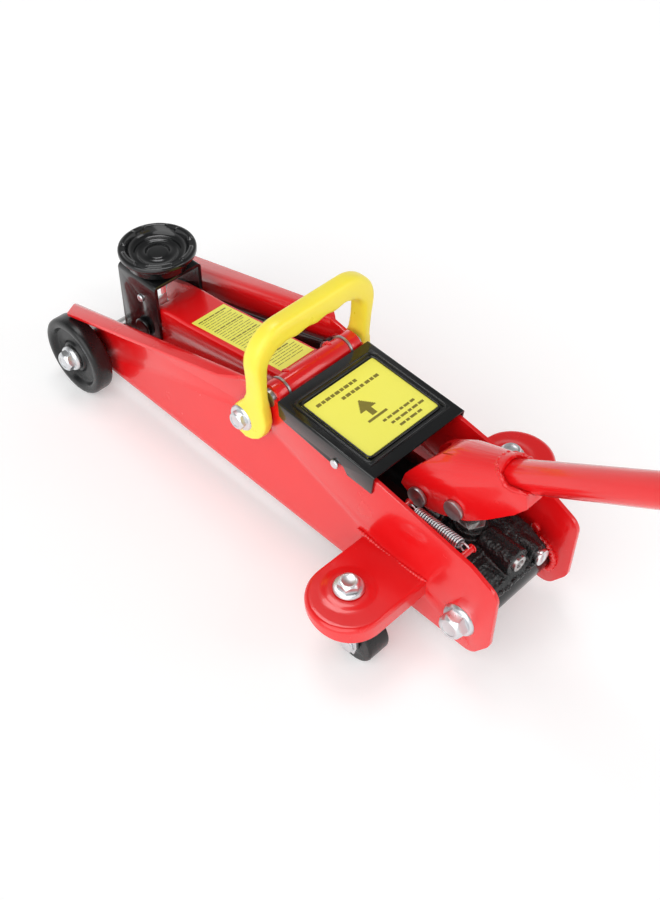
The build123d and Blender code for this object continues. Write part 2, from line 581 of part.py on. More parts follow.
left_spring = return_spring()
parts["return_springs"] = Compound([left_spring, mirror_y(left_spring)])
left_posts = spring_posts()
parts["spring_studs"] = Compound(left_posts + [mirror_y(post) for post in left_posts])
rear_tube = rod_y(*REAR_BOLT, 12, -PLATE_IN, PLATE_IN)
parts["rear_cross_tube"] = rear_tube - rod_y(*REAR_BOLT, 6, -50, 50)
rear_bolt = hex_bolt(18, 9.0, 13, 2.4, 6, 24)
parts["rear_bolts"] = Compound(
    [stand(REAR_BOLT[0], side * PLATE_OUT, REAR_BOLT[1], side) * rear_bolt for side in (-1, 1)])
valve = rod_x(0, VALVE_Z, 6 - RUN_FIT, -403, -386)
parts["release_valve"] = valve - rod_x(0, VALVE_Z, 3.2, -406, -393)


# ---------------------------------------------------------------- pump linkage
def fulcrum_bracket():
    """Two ears standing on the tank saddle, between the yoke's cheeks."""
    fx, fz = FULCRUM
    foot, half = 82.0, 12.0
    ear = slab([(fx - 9, fz), (fx + 9, fz), (fx + half, fz - 5), (fx + half, foot), (fx - half, foot),
                (fx - half, fz - 5)], 10.5, 15.5)
    ear += rod_y(fx, fz, 9, 10.5, 15.5)
    ears = ear + mirror_y(ear) + brick(fx - half, fx + half, -15.5, 15.5, foot, fz - 5.4)
    ears -= rod_x(0, TANK_Z, TANK_R, -400, -300)
    ears -= rod_y(fx, fz, 5, -40, 40)
    return ears


parts["fulcrum_bracket"] = fulcrum_bracket()
fulcrum_pin = rod_y(*FULCRUM, 5, -YOKE_W - 0.4, YOKE_W + 0.4)
for side_sign in (-1, 1):
    low, high = sorted((side_sign * (YOKE_W + 0.4), side_sign * (YOKE_W + 3.4)))
    fulcrum_pin += rod_y(*FULCRUM, 7.5, low, high)
parts["fulcrum_pin"] = fulcrum_pin

axis_x, axis_z = -math.cos(math.radians(HANDLE_ANGLE)), math.sin(math.radians(HANDLE_ANGLE))


def handle_bar(radius, start, end):
    """A round bar along the handle's axis, measured from the yoke's mouth."""
    middle = (start + end) / 2
    spot = Pos(HANDLE_ROOT[0] + axis_x * middle, 0, HANDLE_ROOT[1] + axis_z * middle)
    return spot * Rot(0, -90 + HANDLE_ANGLE, 0) * Cylinder(radius, end - start)


def yoke_section(radius, along):
    """Round-topped section with straight cheeks, across the handle's axis."""
    spot = (HANDLE_ROOT[0] + axis_x * along, 0, HANDLE_ROOT[1] + axis_z * along)
    plane = Plane(origin=spot, x_dir=(0, 1, 0), z_dir=(axis_x, 0, axis_z))
    top = radius if (plane.y_dir.Z > 0) else -radius
    foot = -4 * top
    path = [ThreePointArc((-radius, 0), (0, top), (radius, 0)), Line((radius, 0), (radius, foot)),
            Line((radius, foot), (-radius, foot)), Line((-radius, foot), (-radius, 0))]
    return plane * make_face(path)


def yoke_form(wide, narrow):
    """The yoke's form, wide over the pins and narrower at the handle's mouth."""
    front = extrude(yoke_section(wide, YOKE_BEND), amount=75, dir=(-axis_x, 0, -axis_z))
    taper = loft([yoke_section(wide, YOKE_BEND), yoke_section(narrow, YOKE_SEAM)])
    lip = extrude(yoke_section(narrow, YOKE_SEAM), amount=40, dir=(axis_x, 0, axis_z))
    return front + taper + lip


def yoke():
    """Pressed yoke: two cheeks on the pins, closed round the handle tube."""
    outline = [(-314, 97), (-316, 107), (-322, 116), (-333, 130), (-347, 146), (-362, 158), (-380, 170),
               (-384, 152), (-393, 149), (-406, 153.5), (-408.5, 143), (-400, 130.5), (-384, 115.5), (-369, 104),
               (-352, 95), (-339, 90), (-325, 90.5)]
    body = slab(outline, -YOKE_W, YOKE_W) & yoke_form(YOKE_W, TUBE_R + 3.4)
    inner = yoke_form(YOKE_W - PLATE_T, TUBE_R + 0.4)
    body -= inner & slab([(-290, 60), (-290, 170), (-362, 170), (-372, 140), (-377, 124), (-400, 143),
                          (-420, 120), (-420, 60)], -YOKE_W, YOKE_W)
    body -= handle_bar(TUBE_R + 0.06, -42, 30)
    body -= rod_y(*FULCRUM, 5 + RUN_FIT, -40, 40)
    return body - rod_y(*PUMP_PIN, 4, -40, 40)


parts["yoke"] = yoke()
pump_pin = rod_y(*PUMP_PIN, 4, -YOKE_W, YOKE_W)
for side_sign in (-1, 1):
    low, high = sorted((side_sign * YOKE_W, side_sign * (YOKE_W + 3)))
    pump_pin += rod_y(*PUMP_PIN, 7.5, low, high)
parts["pump_pin"] = pump_pin
eye = brick(PUMP_PIN[0] - 10.5, PUMP_PIN[0] + 11.5, -6, 6, 99.5, 116.5)
eye -= brick(PUMP_PIN[0] - 6.0, PUMP_PIN[0] + 7.3, -10, 10, PUMP_PIN[1] - 4.8, PUMP_PIN[1] + 4.8)
plunger = eye + rod_z(PUMP_PIN[0], 0, PLUNGER_R, PLUNGER_FOOT, 100)
parts["pump_plunger"] = plunger

tube = handle_bar(TUBE_R, -40, HANDLE_LEN) - handle_bar(TUBE_R - 1.6, -41, HANDLE_LEN + 1)
parts["handle_tube"] = tube
grip = handle_bar(TUBE_R + 3.2, HANDLE_LEN - 96, HANDLE_LEN + 4)
grip = soften(grip, 2.5, grip.edges().filter_by(GeomType.CIRCLE))
grip -= handle_bar(TUBE_R, HANDLE_LEN - 200, HANDLE_LEN)
parts["handle_grip"] = grip

# ---------------------------------------------------------------- files
overall = Compound(list(parts.values())).bounding_box()
centre_x = (overall.min.X + overall.max.X) / 2
print("origin shift", -centre_x, "box", overall.min, overall.max)
os.makedirs("parts", exist_ok=True)
for name, part in parts.items():
    export_step(Pos(-centre_x, 0, 0) * part, f"parts/{name}.step")
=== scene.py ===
"""Hydraulic trolley jack: the finished look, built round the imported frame."""

from __future__ import annotations

import json
import logging
import math
from dataclasses import dataclass
from enum import Enum
from functools import partial
from typing import Callable, Iterable, Sequence

import bpy
from mathutils import Matrix, Vector, noise


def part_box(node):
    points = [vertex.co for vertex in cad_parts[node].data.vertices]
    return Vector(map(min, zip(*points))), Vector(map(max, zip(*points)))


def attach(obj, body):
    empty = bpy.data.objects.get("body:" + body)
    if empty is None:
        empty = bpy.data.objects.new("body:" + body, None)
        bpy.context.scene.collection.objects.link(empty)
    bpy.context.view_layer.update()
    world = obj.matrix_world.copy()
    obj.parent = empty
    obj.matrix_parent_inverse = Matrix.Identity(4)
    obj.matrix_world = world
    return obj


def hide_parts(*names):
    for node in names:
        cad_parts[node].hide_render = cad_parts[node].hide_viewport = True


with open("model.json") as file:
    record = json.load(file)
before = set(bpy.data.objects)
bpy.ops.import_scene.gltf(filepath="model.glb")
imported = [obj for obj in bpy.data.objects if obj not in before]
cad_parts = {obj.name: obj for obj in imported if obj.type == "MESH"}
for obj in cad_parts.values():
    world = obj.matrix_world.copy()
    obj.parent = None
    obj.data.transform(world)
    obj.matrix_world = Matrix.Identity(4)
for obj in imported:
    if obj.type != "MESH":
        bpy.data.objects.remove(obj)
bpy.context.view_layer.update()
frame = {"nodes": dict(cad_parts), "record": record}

LOG = logging.getLogger("trolley_jack")
MM = 0.001
Point = tuple[float, float, float]
Bar = tuple[float, float, float, float]
Place = Callable[[float, float], Vector]
Route = Callable[[float], Vector]

SIDES = ((1, "left"), (-1, "right"))
MERGE = 1e-6
CAD_MERGE = 2e-6
CAD_FLAT_ANGLE = 0.6
BEVEL_RINGS = 2
REFINED_EDGE_ANGLE = 30.0
REFINED_SMOOTH_ANGLE = 32.0


def middle_of(node: str) -> Vector:
    """Middle of a CAD node's box.

    Args:
        node: Name of the CAD node.

    Returns:
        The middle point, in metres.
    """
    low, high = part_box(node)
    return (low + high) / 2


FRONT_AXLE_X = middle_of("front_axle").x


def at(x: float, y: float, z: float) -> Vector:
    """A point given from the front axle, in millimetres.

    Args:
        x: Distance ahead of the front axle.
        y: Distance to the left of the middle plane.
        z: Height over the floor.

    Returns:
        The point in the frame, in metres.
    """
    return Vector((x * MM + FRONT_AXLE_X, y * MM, z * MM))


def blend_between(low: float, high: float, value: float) -> float:
    """Smooth step from 0 at low to 1 at high.

    Args:
        low: Where the step starts.
        high: Where the step ends.
        value: Where it is read.

    Returns:
        A share from 0 to 1.
    """
    share = min(1.0, max(0.0, (value - low) / (high - low)))
    return share * share * (3 - 2 * share)


def along_table(table: Sequence[tuple[float, ...]], where: float) -> tuple[float, ...]:
    """Reads a short table of stations, eased between neighbours.

    Args:
        table: Rows of a position followed by values, in rising order.
        where: The position to read.

    Returns:
        The values at that position.
    """
    if where <= table[0][0]:
        return table[0][1:]
    for low, high in zip(table, table[1:]):
        if where <= high[0]:
            share = (where - low[0]) / (high[0] - low[0])
            return tuple(a + (b - a) * share for a, b in zip(low[1:], high[1:]))
    return table[-1][1:]


# ------------------------------------------------------------------ materials
class Slot(Enum):
    """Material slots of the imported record."""

    RED = "red_paint"
    BLACK = "black_paint"
    CAST = "cast_black"
    ZINC = "zinc"
    STEEL = "steel"
    WHEEL = "wheel_black"
    YELLOW = "yellow_plastic"
    LABEL = "label_yellow"
    RUBBER = "rubber_grip"


@dataclass(frozen=True)
class Finish:
    """A surface finish with its fine detail.

    Sizes are in millimetres, colours are linear.
    """

    name: str
    colour: Point
    second_colour: Point
    roughness: tuple[float, float]
    metallic: float = 0.0
    coat: float = 0.0
    coat_roughness: float = 0.05
    cloud_size: float = 40.0
    grain_size: float = 2.0
    grain_height: float = 0.01
    pit_size: float = 0.0
    pit_height: float = 0.0
    specular: float = 0.5
    subsurface: float = 0.0
    subsurface_reach: Point = (4.0, 2.5, 0.5)
    stretch: Point = (1.0, 1.0, 1.0)
    cloud_detail: float = 4.0
    smear_detail: float = 6.0
    grain_detail: float = 3.0
    smears_per_cloud: float = 3.0
    smear_band: tuple[float, float] = (0.3, 0.7)

    def build(self) -> bpy.types.Material:
        """Makes the node material.

        Returns:
            The material.
        """
        material = bpy.data.materials.new(self.name)
        material.use_nodes = True
        nodes, links = material.node_tree.nodes, material.node_tree.links
        shader = nodes["Principled BSDF"]
        shader.inputs["Metallic"].default_value = self.metallic
        shader.inputs["Coat Weight"].default_value = self.coat
        shader.inputs["Coat Roughness"].default_value = self.coat_roughness
        shader.inputs["Specular IOR Level"].default_value = self.specular
        if self.subsurface:
            shader.inputs["Subsurface Weight"].default_value = self.subsurface
            shader.inputs["Subsurface Radius"].default_value = [reach * MM for reach in self.subsurface_reach]
            shader.inputs["Subsurface Scale"].default_value = 1.0
        place = nodes.new("ShaderNodeTexCoord").outputs["Object"]
        stretched = nodes.new("ShaderNodeMapping")
        stretched.inputs["Scale"].default_value = self.stretch
        links.new(place, stretched.inputs["Vector"])
        clouds = self._noise(nodes, links, place, self.cloud_size, self.cloud_detail)
        tint = nodes.new("ShaderNodeMix")
        tint.data_type = "RGBA"
        tint.inputs["A"].default_value = (*self.colour, 1)
        tint.inputs["B"].default_value = (*self.second_colour, 1)
        links.new(clouds, tint.inputs["Factor"])
        links.new(tint.outputs["Result"], shader.inputs["Base Color"])
        smear_size = self.cloud_size / self.smears_per_cloud
        smear = self._noise(nodes, links, stretched.outputs["Vector"], smear_size, self.smear_detail)
        rough = nodes.new("ShaderNodeMapRange")
        rough.inputs["From Min"].default_value = self.smear_band[0]
        rough.inputs["From Max"].default_value = self.smear_band[1]
        rough.inputs["To Min"].default_value = self.roughness[0]
        rough.inputs["To Max"].default_value = self.roughness[1]
        links.new(smear, rough.inputs["Value"])
        links.new(rough.outputs["Result"], shader.inputs["Roughness"])
        grain = self._noise(nodes, links, stretched.outputs["Vector"], self.grain_size, self.grain_detail)
        bump = self._bump(nodes, links, grain, self.grain_height, None)
        if self.pit_height:
            pits = nodes.new("ShaderNodeTexVoronoi")
            pits.inputs["Scale"].default_value = 1 / (self.pit_size * MM)
            links.new(place, pits.inputs["Vector"])
            bump = self._bump(nodes, links, pits.outputs["Distance"], self.pit_height, bump)
        links.new(bump, shader.inputs["Normal"])
        if self.coat:
            links.new(bump, shader.inputs["Coat Normal"])
        return material

    @staticmethod
    def _noise(nodes: bpy.types.Nodes, links: bpy.types.NodeLinks, place: bpy.types.NodeSocket,
               size: float, detail: float) -> bpy.types.NodeSocket:
        """Adds a noise texture.

        Args:
            nodes: Nodes of the material.
            links: Links of the material.
            place: Socket with the place on the surface.
            size: Size of the lumps in millimetres.
            detail: Number of finer layers.

        Returns:
            The socket with the noise.
        """
        texture = nodes.new("ShaderNodeTexNoise")
        texture.inputs["Scale"].default_value = 1 / (size * MM)
        texture.inputs["Detail"].default_value = detail
        links.new(place, texture.inputs["Vector"])
        return texture.outputs["Fac"]

    @staticmethod
    def _bump(nodes: bpy.types.Nodes, links: bpy.types.NodeLinks, height: bpy.types.NodeSocket,
              depth: float, below: bpy.types.NodeSocket | None) -> bpy.types.NodeSocket:
        """Adds a bump, over another bump if there is one.

        Args:
            nodes: Nodes of the material.
            links: Links of the material.
            height: Socket with the height pattern.
            depth: Depth in millimetres.
            below: Socket with the normal of the bump below.

        Returns:
            The socket with the bent normal.
        """
        bump = nodes.new("ShaderNodeBump")
        bump.inputs["Strength"].default_value = 1.0
        bump.inputs["Distance"].default_value = depth * MM
        links.new(height, bump.inputs["Height"])
        if below is not None:
            links.new(below, bump.inputs["Normal"])
        return bump.outputs["Normal"]


RED_ENAMEL = Finish("red_enamel", (0.70, 0.004, 0.006), (0.80, 0.007, 0.009), (0.20, 0.28), coat=0.45,
                    coat_roughness=0.06, cloud_size=70.0, grain_size=11.0, grain_height=0.035)
BLACK_ENAMEL = Finish("black_enamel", (0.0035, 0.004, 0.0045), (0.007, 0.0075, 0.008), (0.14, 0.24),
                      coat=0.35, coat_roughness=0.04, grain_size=9.0, grain_height=0.05, specular=0.4)
CAST_PAINT = Finish("black_casting", (0.004, 0.0045, 0.005), (0.012, 0.013, 0.014), (0.20, 0.38),
                    cloud_size=9.0, grain_size=1.8, grain_height=0.5, pit_size=2.2, pit_height=0.3)
ZINC_PLATE = Finish("zinc_plate", (0.66, 0.69, 0.74), (0.78, 0.78, 0.77), (0.26, 0.36), metallic=1.0,
                    cloud_size=12.0, grain_size=1.6, grain_height=0.006)
DULL_ZINC = Finish("dull_zinc", (0.36, 0.36, 0.38), (0.50, 0.49, 0.48), (0.34, 0.46), metallic=1.0,
                   cloud_size=8.0, grain_size=1.2, grain_height=0.01)
TURNED_STEEL = Finish("turned_steel", (0.40, 0.40, 0.41), (0.55, 0.54, 0.52), (0.22, 0.42), metallic=1.0,
                      cloud_size=14.0, grain_size=0.6, grain_height=0.01, stretch=(0.2, 1.0, 1.0))
WHEEL_BLACK = Finish("wheel_black", (0.005, 0.0055, 0.006), (0.009, 0.0095, 0.010), (0.24, 0.34),
                     cloud_size=25.0, grain_size=2.4, grain_height=0.012, specular=0.45)
YELLOW_MOULDING = Finish("yellow_moulding", (0.90, 0.74, 0.045), (0.93, 0.79, 0.075), (0.26, 0.38),
                         cloud_size=60.0, grain_size=2.5, grain_height=0.012, subsurface=0.15)
STICKER = Finish("yellow_sticker", (0.86, 0.82, 0.10), (0.89, 0.85, 0.13), (0.30, 0.42), cloud_size=60.0,
                 grain_size=3.0, grain_height=0.008, coat=0.15)
STICKER_INK = Finish("sticker_ink", (0.16, 0.13, 0.012), (0.24, 0.20, 0.02), (0.4, 0.5), cloud_size=5.0,
                     grain_size=1.0, grain_height=0.004)
GRIP_RUBBER = Finish("grip_rubber", (0.012, 0.012, 0.012), (0.022, 0.022, 0.022), (0.55, 0.7),
                     cloud_size=12.0, grain_size=0.9, grain_height=0.06)

SLOT_FINISH = {
    Slot.RED: RED_ENAMEL, Slot.BLACK: BLACK_ENAMEL, Slot.CAST: CAST_PAINT, Slot.ZINC: ZINC_PLATE,
    Slot.STEEL: TURNED_STEEL, Slot.WHEEL: WHEEL_BLACK, Slot.YELLOW: YELLOW_MOULDING, Slot.LABEL: STICKER,
    Slot.RUBBER: GRIP_RUBBER,
}


class PaintShop:
    """Makes each finish once and hands it out."""

    def __init__(self) -> None:
        """Starts with no material made."""
        self._made: dict[str, bpy.types.Material] = {}

    def material(self, finish: Finish) -> bpy.types.Material:
        """The material of a finish, made at its first use.

        Args:
            finish: The finish wanted.

        Returns:
            Its material.
        """
        if finish.name not in self._made:
            self._made[finish.name] = finish.build()
        return self._made[finish.name]

    def coat(self, piece: bpy.types.Object, finish: Finish) -> None:
        """Gives the whole piece one finish.

        Args:
            piece: The object to paint.
            finish: The finish it gets.
        """
        piece.data.materials.clear()
        piece.data.materials.append(self.material(finish))


PAINT = PaintShop()


# ------------------------------------------------------------------ modelling moves
class Bench:
    """The modelling moves that every sub-assembly shares."""

    @staticmethod
    def clear() -> None:
        """Leaves edit mode and deselects everything."""
        if bpy.context.mode != "OBJECT":
            bpy.ops.object.mode_set(mode="OBJECT")
        bpy.ops.object.select_all(action="DESELECT")

    @staticmethod
    def pick(piece: bpy.types.Object) -> None:
        """Makes one piece the only selected and active one.

        Args:
            piece: The object to select.
        """
        Bench.clear()
        piece.select_set(True)
        bpy.context.view_layer.objects.active = piece

    @staticmethod
    def tidy(piece: bpy.types.Object, close: bool) -> bpy.types.Object:
        """Merges doubles, closes holes if asked, and turns faces outwards.

        Args:
            piece: The mesh object.
            close: Whether open ends are filled.

        Returns:
            The same object.
        """
        Bench.pick(piece)
        bpy.ops.object.mode_set(mode="EDIT")
        bpy.ops.mesh.select_all(action="SELECT")
        bpy.ops.mesh.remove_doubles(threshold=MERGE)
        if close:
            bpy.ops.mesh.select_all(action="SELECT")
            bpy.ops.mesh.fill_holes(sides=0)
        bpy.ops.mesh.select_all(action="SELECT")
        bpy.ops.mesh.normals_make_consistent(inside=False)
        bpy.ops.object.mode_set(mode="OBJECT")
        return piece

    @staticmethod
    def apply(piece: bpy.types.Object, kind: str, **values: object) -> bpy.types.Object:
        """Adds a modifier with the given values and applies it.

        Args:
            piece: The mesh object.
            kind: Blender's modifier type.
            **values: Settings of the modifier.

        Returns:
            The same object.
        """
        Bench.pick(piece)
        bpy.ops.object.modifier_add(type=kind)
        modifier = piece.modifiers[-1]
        for name, value in values.items():
            setattr(modifier, name, value)
        bpy.ops.object.modifier_apply(modifier=modifier.name)
        return piece

    @staticmethod
    def join(pieces: Sequence[bpy.types.Object]) -> bpy.types.Object:
        """Joins pieces into the first one.

        Args:
            pieces: The mesh objects.

        Returns:
            The joined object.
        """
        Bench.clear()
        for piece in pieces:
            piece.select_set(True)
        bpy.context.view_layer.objects.active = pieces[0]
        bpy.ops.object.join()
        return bpy.context.active_object

    @staticmethod
    def smooth(piece: bpy.types.Object, angle: float) -> bpy.types.Object:
        """Shades the piece smooth up to an angle.

        Args:
            piece: The mesh object.
            angle: Angle in degrees above which an edge stays sharp.

        Returns:
            The same object.
        """
        Bench.pick(piece)
        bpy.ops.object.shade_smooth_by_angle(angle=math.radians(angle))
        return piece

    @staticmethod
    def round_edges(piece: bpy.types.Object, width: float, angle: float) -> bpy.types.Object:
        """Bevels every edge sharper than an angle.

        Args:
            piece: The mesh object.
            width: Width of the bevel in millimetres.
            angle: Least angle between faces, in degrees.

        Returns:
            The same object.
        """
        return Bench.apply(piece, "BEVEL", width=width * MM, segments=BEVEL_RINGS, limit_method="ANGLE",
                           angle_limit=math.radians(angle), harden_normals=False)

    @staticmethod
    def skin(name: str, columns: int, rows: int, place: Place, close: bool = False) -> bpy.types.Object:
        """A grid whose vertices are laid on a surface.

        Args:
            name: Name of the piece.
            columns: Cells across.
            rows: Cells along.
            place: Gives the point for a share across and a share along.
            close: Whether open ends are filled.

        Returns:
            The new piece.
        """
        Bench.clear()
        bpy.ops.mesh.primitive_grid_add(x_subdivisions=columns, y_subdivisions=rows, size=1)
        piece = bpy.context.active_object
        piece.name = piece.data.name = name
        for vertex in piece.data.vertices:
            vertex.co = place(vertex.co.x + 0.5, vertex.co.y + 0.5)
        return Bench.tidy(piece, close=close)

    @staticmethod
    def turned(name: str, centre: Vector, axis: Vector, profile: Sequence[tuple[float, float]],
               sides: int) -> bpy.types.Object:
        """A turned piece: a ring extruded and scaled from station to station.

        Args:
            name: Name of the piece.
            centre: Point on the axis from which the heights count.
            axis: Direction of the axis.
            profile: Pairs of radius and height in millimetres, from one end round to the other.
            sides: Number of sides of each ring.

        Returns:
            The new piece.
        """
        Bench.clear()
        axis = axis.normalized()
        turn = axis.to_track_quat("Z", "Y").to_euler()
        radius, height = profile[0]
        start = centre + axis * height * MM
        bpy.ops.mesh.primitive_circle_add(vertices=sides, radius=radius * MM, location=start,
                                          rotation=turn)
        piece = bpy.context.active_object
        piece.name = piece.data.name = name
        bpy.ops.object.transform_apply(location=True, rotation=True, scale=True)
        bpy.ops.object.mode_set(mode="EDIT")
        bpy.ops.mesh.select_all(action="SELECT")
        for new_radius, new_height in profile[1:]:
            step = axis * (new_height - height) * MM
            bpy.ops.mesh.extrude_edges_move(TRANSFORM_OT_translate={"value": step})
            scale = new_radius / radius
            middle = centre + axis * new_height * MM
            bpy.ops.transform.resize(value=(scale, scale, scale), center_override=middle)
            radius, height = new_radius, new_height
        bpy.ops.object.mode_set(mode="OBJECT")
        return Bench.tidy(piece, close=True)

    @staticmethod
    def refined(node: str, bevel: float) -> bpy.types.Object:
        """A copy of a CAD node with its edges softly rounded.

        Args:
            node: Name of the CAD node.
            bevel: Width of the rounding in millimetres, or 0 for none.

        Returns:
            The new piece, which still has to ride and replace.
        """
        Bench.clear()
        piece = bpy.data.objects.new(f"{node}_finished", frame["nodes"][node].data.copy())
        bpy.context.scene.collection.objects.link(piece)
        Bench.pick(piece)
        bpy.ops.object.mode_set(mode="EDIT")
        bpy.ops.mesh.select_all(action="SELECT")
        bpy.ops.mesh.remove_doubles(threshold=CAD_MERGE)
        bpy.ops.mesh.dissolve_limited(angle_limit=math.radians(CAD_FLAT_ANGLE))
        bpy.ops.object.mode_set(mode="OBJECT")
        if bevel:
            Bench.round_edges(piece, bevel, REFINED_EDGE_ANGLE)
        return Bench.smooth(piece, REFINED_SMOOTH_ANGLE)

    @staticmethod
    def hang(piece: bpy.types.Object, body: str, slot: Slot, finish: Finish | None = None,
             replaces: Iterable[str] = ()) -> bpy.types.Object:
        """Paints a finished piece and lets it ride on its body.

        Args:
            piece: The finished mesh.
            body: Name of the CAD body it moves with.
            slot: Material slot of the record.
            finish: Finish, if it isn't the slot's own.
            replaces: CAD nodes that it stands for.

        Returns:
            The same object.
        """
        PAINT.coat(piece, finish or SLOT_FINISH[slot])
        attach(piece, body)
        nodes = list(replaces)
        if nodes:
            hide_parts(*nodes)
        LOG.info("%s rides on %s", piece.name, body)
        return piece


def body_of(node: str) -> str:
    """The body that a CAD node belongs to.

    Args:
        node: Name of the CAD node.

    Returns:
        Name of the body.
    """
    bodies = frame["record"]["behaviour"]["bodies"]
    return next(body for body, members in bodies.items() if node in members)


def slot_of(node: str) -> Slot:
    """The material slot of a CAD node.

    Args:
        node: Name of the CAD node.

    Returns:
        The slot.
    """
    rows = frame["record"]["subparts"]
    return Slot(next(row["material_slot"] for row in rows if row["node"] == node))


def refine_nodes(widths: dict[str, float], finish: Finish | None = None) -> int:
    """Replaces CAD nodes by copies with rounded edges.

    Args:
        widths: Width of the rounding in millimetres, for each node.
        finish: Finish, if it isn't the slot's own.

    Returns:
        The number of nodes refined.
    """
    for node, width in widths.items():
        piece = Bench.refined(node, width)
        Bench.hang(piece, body_of(node), slot_of(node), finish, replaces=[node])
    return len(widths)


def bead(name: str, route: Route, length: float, radius: float, turns: int) -> bpy.types.Object:
    """A weld bead: a rippled tube along a route, thinner at its two ends.

    Args:
        name: Name of the piece.
        route: Gives the point for a share of the length.
        length: Length of the bead in millimetres.
        radius: Radius of the bead in millimetres.
        turns: Number of ripples.

    Returns:
        The new piece.
    """
    sides, least_rows, rows_per_mm, smooth_angle = 10, 24, 1.6, 80.0
    look_ahead, end_slope, end_size = 0.002, 12, 0.15
    ripple_height, lump_height, lumps_per_mm = 0.16, 0.25, 0.35
    rows = max(least_rows, int(length * rows_per_mm))

    def place(across: float, along: float) -> Vector:
        """A point of the rippled tube.

        Args:
            across: Share round the tube.
            along: Share of the route.

        Returns:
            The point, in metres.
        """
        here = route(along)
        ahead = route(min(1.0, along + look_ahead)) - route(max(0.0, along - look_ahead))
        ahead.normalize()
        side = ahead.orthogonal().normalized()
        other = ahead.cross(side)
        angle = across * math.tau
        ends = min(1.0, end_slope * min(along, 1 - along) + end_size)
        ripple = 1 + ripple_height * math.sin(along * turns * math.tau)
        ripple += lump_height * noise.noise(here / MM * lumps_per_mm)
        return here + (side * math.cos(angle) + other * math.sin(angle)) * radius * ripple * ends * MM

    return Bench.smooth(Bench.skin(name, sides, rows, place, close=True), smooth_angle)


@dataclass(frozen=True)
class ArcWelds:
    """A left and a right weld bead, each round one end of a cross tube."""

    name: str
    body: str
    centre: tuple[float, float]
    y: float
    reach: float
    start: float
    sweep: float
    length: float
    radius: float
    ripples: int

    def build(self) -> int:
        """Lays both beads.

        Returns:
            The number of pieces made.
        """
        for side, label in SIDES:
            piece = bead(f"{self.name}_{label}", partial(self._point, side), self.length, self.radius,
                         self.ripples)
            Bench.hang(piece, self.body, Slot.RED)
        return len(SIDES)

    def _point(self, side: int, share: float) -> Vector:
        """A point of the arc.

        Args:
            side: 1 for the left, -1 for the right.
            share: Share of the arc.

        Returns:
            The point, in metres.
        """
        x, z = self.centre
        angle = math.radians(self.start + self.sweep * share)
        return at(x + self.reach * math.cos(angle), side * self.y, z + self.reach * math.sin(angle))


# ------------------------------------------------------------------ chassis
@dataclass
class Chassis:
    """Side plates, their welds and the plain shafts and bolts."""

    edge: float = 0.5
    plate_inside: float = 40.0
    rivet: tuple[float, float] = (-386.0, 62.0)
    rivet_profile: tuple[tuple[float, float], ...] = (
        (3.8, 0.0), (3.8, 0.6), (3.3, 1.6), (2.1, 2.3), (0.3, 2.6))
    rivet_sides: int = 32
    rear_welds: ArcWelds = ArcWelds("rear_weld", "chassis", centre=(-391.0, 41.0), y=39.2, reach=14.0,
                                    start=-60.0, sweep=300.0, length=70.0, radius=2.4, ripples=22)

    def build(self) -> int:
        """Builds the chassis pieces.

        Returns:
            The number of pieces made.
        """
        count = refine_nodes({
            "side_plate_left": self.edge, "side_plate_right": self.edge, "front_axle": 0.4,
            "front_spacers": 0.3, "arm_shaft": 0.2, "arm_bosses": 0.3, "tie_rod_rear_stud": 0.3,
            "rear_cross_tube": 0.5, "rear_bolts": 0.3, "front_wheel_bolts": 0.3, "carry_handle_bolts": 0.25,
        })
        count += refine_nodes({"spring_studs": 0.3}, RED_ENAMEL)
        count += refine_nodes({"arm_washers": 0.25}, DULL_ZINC)
        return count + self.rear_welds.build() + self._plate_rivets()

    def _plate_rivets(self) -> int:
        """Painted rivets on the plates' inner faces, over the rear bolts.

        Returns:
            The number of pieces made.
        """
        x, z = self.rivet
        for side, label in SIDES:
            piece = Bench.turned(f"plate_rivet_{label}", at(x, side * self.plate_inside, z),
                                 Vector((0, -side, 0)), self.rivet_profile, self.rivet_sides)
            Bench.smooth(piece, 50)
            Bench.hang(piece, "chassis", Slot.RED)
        return 2


# ------------------------------------------------------------------ front wheels
@dataclass
class FrontWheels:
    """Solid moulded front wheels, turned with a dished web."""

    radius: float = 34.0
    bore: float = 8.2
    width: float = 16.0
    middle_y: float = 58.0
    sides: int = 96
    edge: float = 0.5
    edge_angle: float = 28.0

    def build(self) -> int:
        """Builds both wheels.

        Returns:
            The number of pieces made.
        """
        for side, label in SIDES:
            name = f"front_wheel_{label}"
            piece = Bench.turned(f"{name}_finished", at(0, side * self.middle_y, self.radius),
                                 Vector((0, side, 0)), self._profile(), self.sides)
            Bench.round_edges(piece, self.edge, self.edge_angle)
            Bench.smooth(piece, 30)
            Bench.hang(piece, name, Slot.WHEEL, replaces=[name])
        return 2

    def _profile(self) -> list[tuple[float, float]]:
        """Stations of the left wheel, from the bore round and back.

        Returns:
            Pairs of radius and height in millimetres.
        """
        half, rim = self.width / 2, self.radius
        outside = [
            (self.bore, half - 2.2), (12.2, half - 2.0), (13.2, half - 3.0), (13.8, half - 4.6),
            (15.5, half - 5.2), (22.5, half - 5.0), (24.6, half - 4.4), (25.6, half - 2.2),
            (26.6, half - 0.7), (28.2, half), (31.2, half), (32.6, half - 0.5), (33.5, half - 1.5),
            (rim, half - 3.2), (rim, half - 6.5),
        ]
        inside = [(radius, -height) for radius, height in reversed(outside)]
        return outside + inside + outside[:1]


